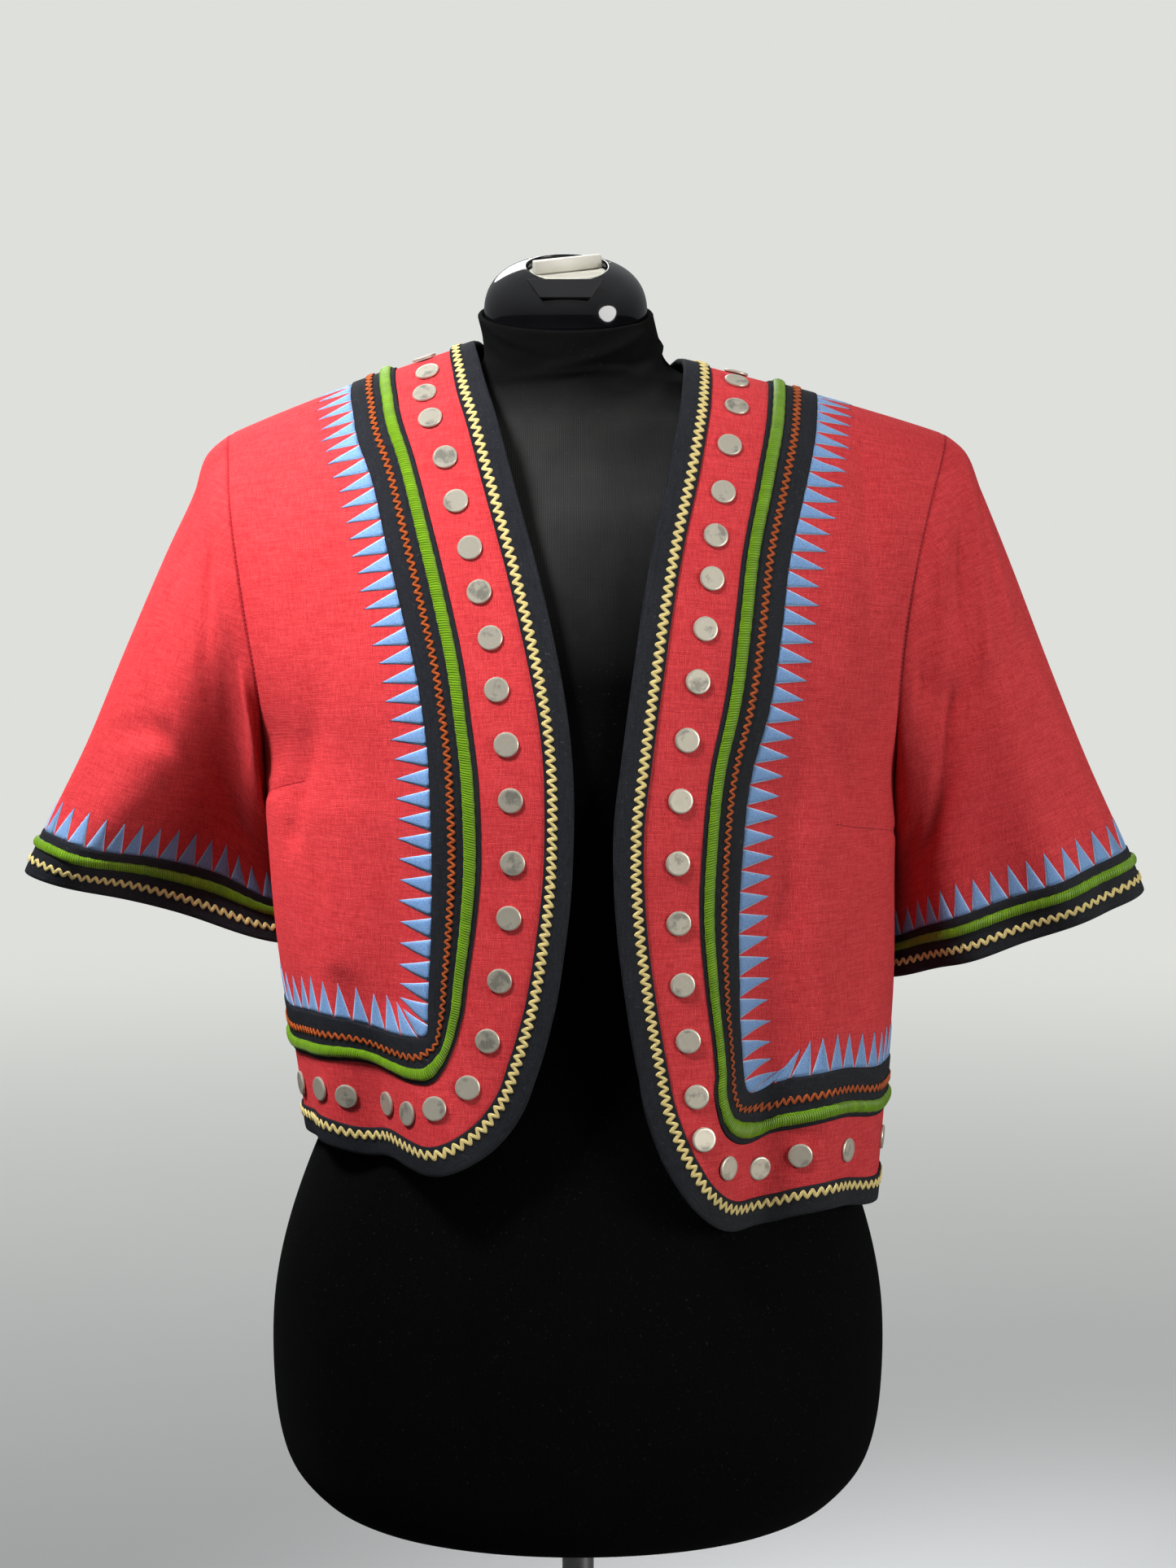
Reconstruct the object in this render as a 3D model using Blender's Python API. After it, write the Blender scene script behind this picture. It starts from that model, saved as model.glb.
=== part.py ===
"""Linen jacket on a limbless dress form.

Metres, +Z up. The origin is on the floor, at the middle of the base's underside. The front faces -Y.
Right and left are the wearer's, so the right side is at -X.

The body of the jacket is one draft: levels from the hem up to the shoulder seam, each a row that runs
from the middle line out to the side seam or the armhole. Every panel is cut flat, in lengths across
and up, and then laid on that draft. Whatever is sewn on a panel is made from the panel's own points,
moved out along the cloth's normals.
"""

import math

import bmesh
import bpy
import numpy as np

# Driving dimensions
DATUM = 0.300           # level above the floor that the heights of form and jacket are measured from
WALL = 0.0015           # the linen
SEAM = 0.0003           # between two pieces
BAND_WALL = 0.0010      # black bands
LACE_LIFT = 0.0005      # between a band and what is couched on it
RICRAC_WALL = 0.0008
CORD_EDGE = 0.0008      # green cord, at its sides
CORD_CROWN = 0.0022     # green cord, at its middle

# Trims, as distances in from the edge of the cloth
EDGE_BAND = (0.0000, 0.0155)
CREAM = (0.0083, 0.0135)
INNER_BAND = (0.0540, 0.0855)
GREEN = (0.0567, 0.0652)
RUST = (0.0720, 0.0765)
TRIM_LINES = (0.0, EDGE_BAND[1], INNER_BAND[0], INNER_BAND[1])

SLEEVE_BAND = (0.0000, 0.0300)
SLEEVE_CREAM = (0.0065, 0.0115)
SLEEVE_GREEN = (0.0170, 0.0250)

CORNER = 0.0955         # radius of the fronts' lower corners
TAPERS = (0.12, 0.04)   # how much narrower the trims are at the right and the left shoulder seam
TAPER_START = 0.85      # share of the front edge where that begins

RIGHT, LEFT = -1, 1

# Levels of the jacket's body: how far up the cloth, and the height above the datum of the middle
# line and of the outer edge, with the half width there, for each side
# level, up, right middle, right outer, right width, left middle, left outer, left width
LEVELS = (
    ("hem", 0.000, 0.246, 0.262, 0.1610, 0.213, 0.226, 0.1780),
    ("hip", 0.060, 0.307, 0.317, 0.1690, 0.279, 0.287, 0.1830),
    ("waist", 0.120, 0.370, 0.370, 0.1775, 0.348, 0.348, 0.1870),
    ("rib", 0.180, 0.430, 0.430, 0.1825, 0.412, 0.412, 0.1870),
    ("armpit", 0.220, 0.470, 0.462, 0.1840, 0.456, 0.448, 0.1870),
    ("bust", 0.275, 0.525, 0.512, 0.1825, 0.515, 0.503, 0.1840),
    ("chest", 0.335, 0.583, 0.567, 0.1900, 0.577, 0.563, 0.1880),
    ("collarbone", 0.396, 0.643, 0.625, 0.1985, 0.635, 0.622, 0.2000),
    ("yoke", 0.446, 0.700, 0.655, 0.2015, 0.688, 0.655, 0.2100),
    ("ridge", 0.486, 0.741, 0.669, 0.2023, 0.726, 0.669, 0.2135),
    ("shoulder", 0.504, 0.742, 0.670, 0.2025, 0.727, 0.670, 0.2140),
)
ARMPIT_UP = 0.220
RIDGE_DEPTH = 0.018     # stretch below the shoulder seam where the two faces' normals come together
SIDE_SHARE = 0.06       # the same beside a side seam, as a share of the row

# Depths of the same levels: y at the middle line and at the outer edge, the angle that the row turns
# through, and how wide the change from the right side's heights to the left's is
# level, middle, outer, turn, change
FRONT_DEPTHS = (
    ("hem", -0.122, 0.000, 90, 0.1),
    ("hip", -0.124, 0.000, 90, 0.1),
    ("waist", -0.126, 0.000, 90, 0.1),
    ("rib", -0.128, 0.000, 90, 0.1),
    ("armpit", -0.129, 0.000, 90, 0.1),
    ("bust", -0.125, -0.046, 68, 0.1),
    ("chest", -0.112, -0.056, 58, 0.1),
    ("collarbone", -0.090, -0.046, 50, 0.1),
    ("yoke", -0.060, -0.026, 45, 0.1),
    ("ridge", -0.010, -0.010, 45, 0.1),
    ("shoulder", 0.008, 0.008, 45, 0.1),
)
BACK_DEPTHS = (
    ("hem", 0.118, 0.000, 90, 1.00),
    ("hip", 0.113, 0.000, 90, 1.00),
    ("waist", 0.109, 0.000, 90, 1.00),
    ("rib", 0.107, 0.000, 90, 1.00),
    ("armpit", 0.106, 0.000, 90, 1.00),
    ("bust", 0.105, 0.044, 66, 0.90),
    ("chest", 0.101, 0.056, 58, 0.75),
    ("collarbone", 0.088, 0.052, 50, 0.55),
    ("yoke", 0.062, 0.040, 45, 0.35),
    ("ridge", 0.026, 0.024, 45, 0.25),
    ("shoulder", 0.008, 0.008, 45, 0.25),
)
DEPTHS = {"front": FRONT_DEPTHS, "back": BACK_DEPTHS}

# The front edge above its round corner: share of the way up to the shoulder seam, distance from the
# middle line on the right front and on the left front
# share, right, left
FRONT_EDGE = (
    (0.00, 0.0130, 0.0340),
    (0.10, 0.0078, 0.0265),
    (0.20, 0.0036, 0.0205),
    (0.32, 0.0020, 0.0190),
    (0.44, 0.0060, 0.0220),
    (0.56, 0.0142, 0.0290),
    (0.68, 0.0256, 0.0380),
    (0.80, 0.0402, 0.0490),
    (0.90, 0.0545, 0.0590),
    (0.96, 0.0615, 0.0640),
    (1.00, 0.0620, 0.0650),
)
NECK_DROP = 0.062       # the back neck's depth below the shoulder seams, along the cloth

# Largest folds: soft ridges (plus) and troughs (minus) that run up the cloth from the hem
# face, across, up to, width, height at the hem
FOLDS = (
    ("front", -0.118, 0.150, 0.026, 0.0060),
    ("front", -0.090, 0.110, 0.016, -0.0040),
    ("front", 0.118, 0.260, 0.020, -0.0060),
    ("front", 0.150, 0.200, 0.022, 0.0050),
    ("front", 0.070, 0.150, 0.024, 0.0040),
    ("back", -0.120, 0.220, 0.030, 0.0060),
    ("back", -0.040, 0.180, 0.032, -0.0040),
    ("back", 0.030, 0.240, 0.030, 0.0060),
    ("back", 0.130, 0.220, 0.030, 0.0050),
)

# Sleeves: how far down the sleeve, then x and height of the ring's outer point and of its inner
# point, its half depth and the y of its middle
# down, outer x, outer height, inner x, inner height, half depth, middle y
RIGHT_SLEEVE = (
    (0.00, 0.2028, 0.6700, 0.1850, 0.4620, 0.0560, 0.000),
    (0.05, 0.2145, 0.6600, 0.1862, 0.4550, 0.0565, 0.000),
    (0.14, 0.2230, 0.6370, 0.1875, 0.4460, 0.0560, -0.002),
    (0.28, 0.2390, 0.6030, 0.1880, 0.4330, 0.0540, -0.004),
    (0.48, 0.2650, 0.5440, 0.1880, 0.4150, 0.0490, -0.005),
    (0.70, 0.2890, 0.4880, 0.1865, 0.3950, 0.0430, -0.005),
    (0.88, 0.3120, 0.4420, 0.1840, 0.3780, 0.0390, -0.005),
    (1.00, 0.3250, 0.4140, 0.1820, 0.3660, 0.0370, -0.004),
)
LEFT_SLEEVE = (
    (0.00, 0.2143, 0.6700, 0.1880, 0.4480, 0.0560, 0.000),
    (0.05, 0.2250, 0.6610, 0.1895, 0.4410, 0.0570, 0.000),
    (0.14, 0.2350, 0.6380, 0.1908, 0.4320, 0.0570, -0.002),
    (0.28, 0.2510, 0.5990, 0.1915, 0.4180, 0.0560, -0.004),
    (0.48, 0.2750, 0.5370, 0.1915, 0.3960, 0.0550, -0.008),
    (0.70, 0.2990, 0.4790, 0.1910, 0.3740, 0.0530, -0.008),
    (0.88, 0.3200, 0.4330, 0.1905, 0.3580, 0.0510, -0.008),
    (1.00, 0.3320, 0.4040, 0.1900, 0.3460, 0.0500, -0.008),
)
SLEEVES = {RIGHT: RIGHT_SLEEVE, LEFT: LEFT_SLEEVE}
HEAD_END = 0.35         # share of the sleeve by which the armhole's own outline has faded

# Segments
UPPER_STEPS = 14        # front edge, from the shoulder seam to the corner
CORNER_STEPS = 6
HEM_STEPS = 5           # front hem, from the corner to the side seam
SIDE_STEPS = 8          # side seam, from the hem bands to the armpit
ARMHOLE_STEPS = 9       # armpit to shoulder seam
NECK_STEPS = 12
YOKE_STEPS = 3          # shoulder seam, from the neck bands to the armhole
SLEEVE_STEPS = 9        # down the sleeve, above its band
JOIN = 0.00002          # points of two grids nearer than this are one
SOFT_SHARP = 40.0       # degrees past which an edge of cloth or padding is shaded sharp
HARD_SHARP = 30.0

# The form's padded body: height above the datum, half width, depth in front and behind, x of the
# middle, forward tilt in degrees
# height, width, front, back, middle, tilt
FORM_SECTIONS = (
    (0.023, 0.120, 0.082, 0.085, 0.000, 0),
    (0.027, 0.137, 0.095, 0.098, 0.000, 0),
    (0.037, 0.154, 0.105, 0.110, 0.000, 0),
    (0.057, 0.171, 0.112, 0.119, 0.000, 0),
    (0.085, 0.1795, 0.116, 0.122, 0.000, 0),
    (0.125, 0.1825, 0.116, 0.122, 0.000, 0),
    (0.165, 0.1805, 0.113, 0.117, 0.000, 0),
    (0.205, 0.1720, 0.108, 0.110, 0.000, 0),
    (0.250, 0.1560, 0.101, 0.102, 0.000, 0),
    (0.300, 0.1330, 0.094, 0.090, 0.000, 0),
    (0.345, 0.1200, 0.090, 0.081, 0.000, 0),
    (0.390, 0.1240, 0.094, 0.080, 0.000, 0),
    (0.435, 0.1370, 0.108, 0.086, 0.000, 0),
    (0.480, 0.1470, 0.118, 0.091, 0.000, 0),
    (0.525, 0.1520, 0.115, 0.094, 0.000, 0),
    (0.570, 0.1600, 0.101, 0.092, 0.000, 0),
    (0.610, 0.1690, 0.085, 0.082, 0.000, 0),
    (0.640, 0.1765, 0.066, 0.068, 0.000, 0),
    (0.662, 0.1785, 0.052, 0.056, 0.000, 0),
    (0.6772, 0.1710, 0.040, 0.046, 0.000, 0),
    (0.6810, 0.1580, 0.036, 0.044, 0.000, 0),
    (0.6861, 0.1360, 0.034, 0.044, 0.000, 0),
    (0.6965, 0.0980, 0.036, 0.044, 0.000, 0),
    (0.7025, 0.0670, 0.042, 0.045, -0.001, 2),
    (0.7120, 0.0530, 0.045, 0.046, -0.002, 6),
    (0.7250, 0.0510, 0.046, 0.046, -0.004, 11),
    (0.738, 0.0510, 0.047, 0.045, -0.007, 14),
)
FORM_SIDES = 32

# Neck cap, dial and its plate, in the neck's tilted frame
NECK_HEIGHT = 0.738
NECK_MIDDLE = -0.007
NECK_TILT = 14.0
CAP_WIDTH = 0.0475      # half width of the cap at its rim
CAP_DEPTH = 0.0430
CAP_RISE = 0.0340
CAP_SQUARE = 2.5        # 2 is an ellipse, more is fuller at the shoulder
CAP_SHARES = (0.0, 0.22, 0.42, 0.60)
CAP_BLENDS = (0.25, 0.50, 0.75, 1.0)
CAP_SIDES = 28
RECESS_FLOOR = 0.0250
RECESS_RADIUS = 0.0234
DIAL_MIDDLE = (0.001, -0.008)
DIAL_RADIUS = 0.0226
DIAL_THICK = 0.0028
BAR_SIZE = (0.0430, 0.0055, 0.0075)
BAR_TURN = 18.0
PLATE_BACK = 0.0360     # how far in front of the cap's middle the plate touches it
PLATE_WIDTHS = (0.0290, 0.0440)
PLATE_HIGH = 0.0120
PLATE_THICK = 0.0018
EASE_EDGE = 0.0005      # how much the hard pieces' edges are broken

# Stand
UNDERSIDE = DATUM + FORM_SECTIONS[0][0]
POLE_RADIUS = 0.0095
COLLAR_RADIUS = 0.0240
COLLAR_FOOT = 0.0145    # its radius at the lower end
COLLAR_HIGH = 0.0180
BASE_RADIUS = 0.1500
BASE_HIGH = 0.0120
SOCKET_RADIUS = 0.0220
SOCKET_HIGH = 0.0230
STAND_EDGE = 0.0030     # chamfer of the base and its socket
STAND_SIDES = 48
POLE_SIDES = 24

RED = (0.62, 0.045, 0.062)
BLACK = (0.012, 0.013, 0.020)
CREAM_COLOUR = (0.83, 0.66, 0.28)
RUST_COLOUR = (0.40, 0.075, 0.025)
GREEN_COLOUR = (0.11, 0.28, 0.02)
KNIT_COLOUR = (0.006, 0.007, 0.009)
IVORY_COLOUR = (0.75, 0.70, 0.58)
STEEL_COLOUR = (0.45, 0.45, 0.46)


def clear_scene():
    """Start with nothing in the file."""
    for thing in list(bpy.data.objects):
        bpy.data.objects.remove(thing, do_unlink=True)


def material(name, colour, roughness, metallic=0.0):
    """A plain finish."""
    made = bpy.data.materials.new(name)
    made.use_nodes = True
    shader = made.node_tree.nodes["Principled BSDF"]
    shader.inputs["Base Color"].default_value = (*colour, 1.0)
    shader.inputs["Roughness"].default_value = roughness
    shader.inputs["Metallic"].default_value = metallic
    return made


def smooth(stations, values, at):
    """A smooth curve through a table's column, read at any number of places."""
    stations = np.asarray(stations, float)
    values = np.asarray(values, float)
    slopes = np.gradient(values, stations)
    at = np.clip(at, stations[0], stations[-1])
    row = np.clip(np.searchsorted(stations, at, side="right") - 1, 0, len(stations) - 2)
    step = stations[row + 1] - stations[row]
    t = (at - stations[row]) / step
    start = values[row] * (2 * t**3 - 3 * t**2 + 1) + step * slopes[row] * (t**3 - 2 * t**2 + t)
    end = values[row + 1] * (3 * t**2 - 2 * t**3) + step * slopes[row + 1] * (t**3 - t**2)
    return start + end


def ease(t):
    """0 below 0, 1 above 1 and a smooth step between."""
    t = np.clip(t, 0.0, 1.0)
    return t * t * (3 - 2 * t)


def column(table, index):
    """One column of a table."""
    return [row[index] for row in table]


LEVEL_UPS = column(LEVELS, 1)
TOP_UP = LEVEL_UPS[-1]


def body_point(face, u, up):
    """Points of the draft. u runs from -1, the right edge, through 0, the middle line, to 1."""
    near = np.abs(u)
    depths = DEPTHS[face]
    middle_y = smooth(LEVEL_UPS, column(depths, 1), up)
    outer_y = np.where(up < ARMPIT_UP, 0.0, smooth(LEVEL_UPS, column(depths, 2), up))
    turn = np.radians(smooth(LEVEL_UPS, column(depths, 3), up))
    change = smooth(LEVEL_UPS, column(depths, 4), up)
    heights = []
    widths = []
    for first in (2, 5):
        middle = smooth(LEVEL_UPS, column(LEVELS, first), up)
        outer = smooth(LEVEL_UPS, column(LEVELS, first + 1), up)
        heights.append(middle + (outer - middle) * near)
        widths.append(smooth(LEVEL_UPS, column(LEVELS, first + 2), up))
    share = ease(0.5 + 0.5 * u / change)
    height = heights[0] * (1 - share) + heights[1] * share
    width = np.where(u < 0, widths[0], widths[1])
    angle = near * turn
    x = np.sign(u) * width * np.sin(angle) / np.sin(turn)
    y = outer_y + (middle_y - outer_y) * (np.cos(angle) - np.cos(turn)) / (1 - np.cos(turn))
    return np.stack([x, y, height + DATUM], axis=-1)


def body_normal(face, u, up):
    """The cloth's outward normal on the draft, square to the seams where two pieces meet."""
    du, dup = 0.004, 0.0015
    inside = np.clip(u, -1 + du, 1 - du)
    level = np.clip(up, dup, TOP_UP - dup)
    across = body_point(face, inside + du, level) - body_point(face, inside - du, level)
    upward = body_point(face, inside, level + dup) - body_point(face, inside, level - dup)
    out = np.cross(across, upward)
    if face == "back":
        out = -out
    out = out / np.linalg.norm(out, axis=-1, keepdims=True)
    below_seam = np.clip((TOP_UP - up) / RIDGE_DEPTH, 0.0, 1.0)
    from_side = np.where(up < ARMPIT_UP, np.clip((1.0 - np.abs(u)) / SIDE_SHARE, 0.0, 1.0), 1.0)
    out[..., 1] = out[..., 1] * below_seam * from_side
    return out / np.linalg.norm(out, axis=-1, keepdims=True)


class Draft:
    """One face of one side, with its lengths measured so that a flat cut can be laid on it."""

    LINES = 81
    MEASURE = 0.5           # the line along which heights up the cloth are measured

    def __init__(self, face, side):
        self.face = face
        self.side = side
        self.measure = self.MEASURE if face == "front" else 0.0
        levels = np.linspace(0.0, TOP_UP, self.LINES)
        spine = body_point(face, np.full(self.LINES, side * self.measure), levels)
        steps = np.linalg.norm(np.diff(spine, axis=0), axis=1)
        self.spine_up = np.concatenate([[0.0], np.cumsum(steps)])
        self.levels = levels
        share = np.linspace(0.0, 1.0, self.LINES)
        grid_u, grid_level = np.meshgrid(share, levels)
        rows = body_point(face, side * grid_u, grid_level)
        steps = np.linalg.norm(np.diff(rows, axis=1), axis=2)
        lengths = np.concatenate([np.zeros((self.LINES, 1)), np.cumsum(steps, axis=1)], axis=1)
        self.reaches = lengths[:, -1]
        self.table = np.array([np.interp(share * row[-1], row, share) for row in lengths])
        self.top = self.spine_up[-1]
        self.armpit = float(np.interp(ARMPIT_UP, levels, self.spine_up))

    def reach(self, up):
        """Length across the cloth from the middle line to the outer edge."""
        level = np.interp(up, self.spine_up, self.levels)
        return np.interp(level, self.levels, self.reaches)

    def lay(self, across, up, lift=0.0):
        """Points and normals of the cloth at flat places, moved out by lift."""
        across = np.asarray(across, float)
        up = np.asarray(up, float)
        level = np.interp(up, self.spine_up, self.levels)
        share = np.clip(across / np.interp(level, self.levels, self.reaches), 0.0, 1.0)
        row = level / TOP_UP * (self.LINES - 1)
        low = np.clip(row.astype(int), 0, self.LINES - 2)
        place = share * (self.LINES - 1)
        cell = np.clip(place.astype(int), 0, self.LINES - 2)
        t = row - low
        s = place - cell
        table = self.table
        below = table[low, cell] * (1 - s) + table[low, cell + 1] * s
        above = table[low + 1, cell] * (1 - s) + table[low + 1, cell + 1] * s
        u = self.side * (below * (1 - t) + above * t)
        normals = body_normal(self.face, u, level)
        fold = fold_height(self.face, self.side * across, up)
        return body_point(self.face, u, level) + normals * (fold + lift)[..., None], normals


def fold_height(face, across, up):
    """How far the largest folds move the cloth out."""
    total = np.zeros_like(np.asarray(across, float))
    for fold_face, middle, reach, width, height in FOLDS:
        if fold_face == face:
            fade = ease(1.0 - up / reach)
            total = total + height * fade * np.exp(-(((across - middle) / width) ** 2))
    return total


def front_edge(draft):
    """Stations along a front's edge, from the shoulder seam round the corner to the side seam.

    Each is a function of the distance in from the edge, which gives the flat place."""
    side_column = 1 if draft.side == RIGHT else 2
    taper = TAPERS[side_column - 1]
    low = CORNER
    high = draft.top - SEAM / 2
    shares = column(FRONT_EDGE, 0)
    offsets = column(FRONT_EDGE, side_column)
    middle = offsets[0] + CORNER
    step = 0.01

    def upper(up):
        share = (up - low) / (high - low)
        across = float(smooth(shares, offsets, share))
        slope = 0.0
        if step < share < 1.0 - step:
            ahead, behind = smooth(shares, offsets, np.array([share + step, share - step]))
            slope = float(ahead - behind) / (2 * step * (high - low))
        narrow = 1.0 - taper * float(ease((share - TAPER_START) / (1.0 - TAPER_START)))
        length = math.hypot(1.0, slope) / narrow
        return lambda inward: (across + inward / length, up - inward * slope / length)

    def corner(angle):
        return lambda inward: (
            middle + (CORNER - inward) * math.cos(angle),
            CORNER + (CORNER - inward) * math.sin(angle),
        )

    def hem(share):
        return lambda inward: (
            middle + (float(draft.reach(inward)) - SEAM / 2 - middle) * share,
            inward,
        )

    stations = [upper(high + (low - high) * k / UPPER_STEPS) for k in range(UPPER_STEPS)]
    stations += [
        corner(math.pi * (1 + 0.5 * k / CORNER_STEPS)) for k in range(CORNER_STEPS + 1)
    ]
    stations += [hem(k / HEM_STEPS) for k in range(1, HEM_STEPS + 1)]
    return stations


def flat_grid(stations, lines):
    """Flat places of a strip: one row a station, one column a distance in from the edge."""
    return np.array([[station(inward) for inward in lines] for station in stations])


def coons(bottom, top, left, right):
    """A four-sided patch between its sides, given as flat points. Rows run up, columns across."""
    rows, columns = len(left), len(bottom)
    t = np.linspace(0, 1, rows)[:, None, None]
    s = np.linspace(0, 1, columns)[None, :, None]
    blend = (1 - t) * bottom[None] + t * top[None] + (1 - s) * left[:, None] + s * right[:, None]
    corners = (1 - s) * (1 - t) * bottom[0] + s * (1 - t) * bottom[-1]
    corners = corners + (1 - s) * t * top[0] + s * t * top[-1]
    return blend - corners


def sheet(points, bm, normal_layer, around=False):
    """A sheet of faces through a grid of (point, normal) pairs."""
    places, normals = points
    rows, columns = places.shape[:2]
    verts = []
    for i in range(rows):
        for j in range(columns):
            vert = bm.verts.new(places[i, j])
            vert[normal_layer] = normals[i, j]
            verts.append(vert)
    for i in range(rows - 1):
        for j in range(columns if around else columns - 1):
            k = (j + 1) % columns
            bm.faces.new(
                (
                    verts[i * columns + j],
                    verts[i * columns + k],
                    verts[(i + 1) * columns + k],
                    verts[(i + 1) * columns + j],
                )
            )


def thicken(name, grids, wall, finish, around=False):
    """Join sheets edge to edge and give them a wall outwards: one thickness, or one a column."""
    bm = bmesh.new()
    normal_layer = bm.verts.layers.float_vector.new("out")
    wall_layer = bm.verts.layers.float.new("wall")
    for grid in grids:
        first = len(bm.verts)
        sheet(grid, bm, normal_layer, around)
        bm.verts.ensure_lookup_table()
        columns = grid[0].shape[1]
        for index in range(first, len(bm.verts)):
            column_index = (index - first) % columns
            bm.verts[index][wall_layer] = wall[column_index] if np.ndim(wall) else wall
    bmesh.ops.remove_doubles(bm, verts=bm.verts, dist=JOIN)
    bmesh.ops.triangulate(bm, faces=bm.faces, quad_method="FIXED")
    raised = bmesh.ops.extrude_face_region(bm, geom=list(bm.faces), use_keep_orig=True)
    for vert in raised["geom"]:
        if isinstance(vert, bmesh.types.BMVert):
            vert.co = vert.co + vert[normal_layer] * vert[wall_layer]
    bmesh.ops.recalc_face_normals(bm, faces=bm.faces)
    return add_object(name, bm, finish)


def add_object(name, bm, finish, sharp=SOFT_SHARP):
    """Put a finished mesh in the scene as one named piece."""
    mesh = bpy.data.meshes.new(name)
    bm.to_mesh(mesh)
    bm.free()
    mesh.materials.append(finish)
    mesh.shade_smooth()
    mesh.set_sharp_from_angle(angle=math.radians(sharp))
    made = bpy.data.objects.new(name, mesh)
    bpy.context.scene.collection.objects.link(made)
    return made


def laid(draft, flat, lift):
    """Lay a grid of flat places on a draft."""
    return draft.lay(flat[..., 0], flat[..., 1], np.full(flat.shape[:2], lift))


def on_strip(low_points, high_points, shares, lift):
    """Points across a laid strip at given shares of its width, moved out by lift."""
    points = []
    normals = []
    for share in shares:
        place = low_points[0] * (1 - share) + high_points[0] * share
        out = low_points[1] * (1 - share) + high_points[1] * share
        out = out / np.linalg.norm(out, axis=-1, keepdims=True)
        points.append(place + out * lift)
        normals.append(out)
    return np.stack(points, axis=1), np.stack(normals, axis=1)


def trims(name, low_edge, high_edge, band, laces, finishes, band_finish, around=False):
    """A band on a strip of cloth, and what is couched on the band.

    low_edge and high_edge are laid points along the band's two edges. A lace is its name, its
    two distances and whether it is a cord."""
    width = band[1] - band[0]
    grid = on_strip(low_edge, high_edge, (0.0, 1.0), SEAM)
    thicken(f"{name}_band", [turned(grid, around)], BAND_WALL, band_finish, around)
    for lace, (inner, outer), round_top in laces:
        ends = ((inner - band[0]) / width, (outer - band[0]) / width)
        lift = SEAM + BAND_WALL + LACE_LIFT
        if round_top:
            shares = (ends[0], (ends[0] + ends[1]) / 2, ends[1])
            wall = (CORD_EDGE, CORD_CROWN, CORD_EDGE)
        else:
            shares = ends
            wall = (RICRAC_WALL, RICRAC_WALL)
        grid = on_strip(low_edge, high_edge, shares, lift)
        thicken_lace(f"{name}_{lace}", grid, wall, finishes[lace], around)


def turned(grid, around):
    """A tube's rings run along its rows, from the top down, so its strips are turned to suit."""
    if not around:
        return grid
    return grid[0].transpose(1, 0, 2)[::-1], grid[1].transpose(1, 0, 2)[::-1]


def thicken_lace(name, grid, wall, finish, around):
    """A lace's wall changes across it; on a tube that is one height a ring."""
    if not around:
        thicken(name, [grid], wall, finish)
        return
    places, normals = turned(grid, True)
    heights = np.array(wall)[:, None, None]
    scaled = normals * heights
    thicken(name, [(places, scaled)], 1.0, finish, True)


FRONT_LACES = {
    "edge": (("cream_ricrac", CREAM, False),),
    "inner": (("green_cord", GREEN, True), ("rust_ricrac", RUST, False)),
}


def strip_trims(name, draft_points, finishes):
    """Both black bands along an edge, with their laces. draft_points has one column a trim line."""
    places, normals = draft_points
    columns = [(places[:, k], normals[:, k]) for k in range(len(TRIM_LINES))]
    trims(
        f"{name}_edge", columns[0], columns[1], (0.0, EDGE_BAND[1]),
        FRONT_LACES["edge"], finishes, finishes["band"],
    )
    trims(
        f"{name}_inner", columns[2], columns[3], INNER_BAND,
        FRONT_LACES["inner"], finishes, finishes["band"],
    )


def make_front(draft, finishes):
    """A front panel with its trims. Returns its laid armhole edge with normals, armpit first."""
    name = "front_right" if draft.side == RIGHT else "front_left"
    strip = flat_grid(front_edge(draft), TRIM_LINES)
    half = UPPER_STEPS + CORNER_STEPS // 2
    inner_line = strip[:, -1]
    left = inner_line[half::-1]
    bottom = inner_line[half:]
    band_top = TRIM_LINES[-1]
    ups = np.concatenate(
        [
            np.linspace(band_top, draft.armpit, SIDE_STEPS + 1),
            np.linspace(draft.armpit, draft.top - SEAM / 2, ARMHOLE_STEPS + 1)[1:],
        ]
    )
    pull = np.where(ups < draft.armpit + 1e-6, SEAM / 2, 0.0)
    right = np.stack([draft.reach(ups) - pull, ups], axis=1)
    across = np.linspace(left[-1][0], right[-1][0], len(bottom))
    top = np.stack([across, np.full(len(bottom), ups[-1])], axis=1)
    patch = coons(bottom, top, left, right)
    grids = [laid(draft, strip, -WALL), laid(draft, patch, -WALL)]
    thicken(name, grids, WALL, finishes["linen"])
    strip_trims(name, laid(draft, strip, 0.0), finishes)
    edge = right[SIDE_STEPS:]
    return draft.lay(edge[:, 0], edge[:, 1], np.zeros(len(edge)))


def signed_lay(drafts, flat, lift):
    """Lay flat places on a face that has both sides, by the sign of the length across."""
    amount = np.full(flat.shape[:-1], lift)
    across = np.abs(flat[..., 0])
    right_side = drafts[RIGHT].lay(across, flat[..., 1], amount)
    left_side = drafts[LEFT].lay(across, flat[..., 1], amount)
    on_right = (flat[..., 0] < 0)[..., None]
    return tuple(np.where(on_right, a, b) for a, b in zip(right_side, left_side, strict=True))


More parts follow.
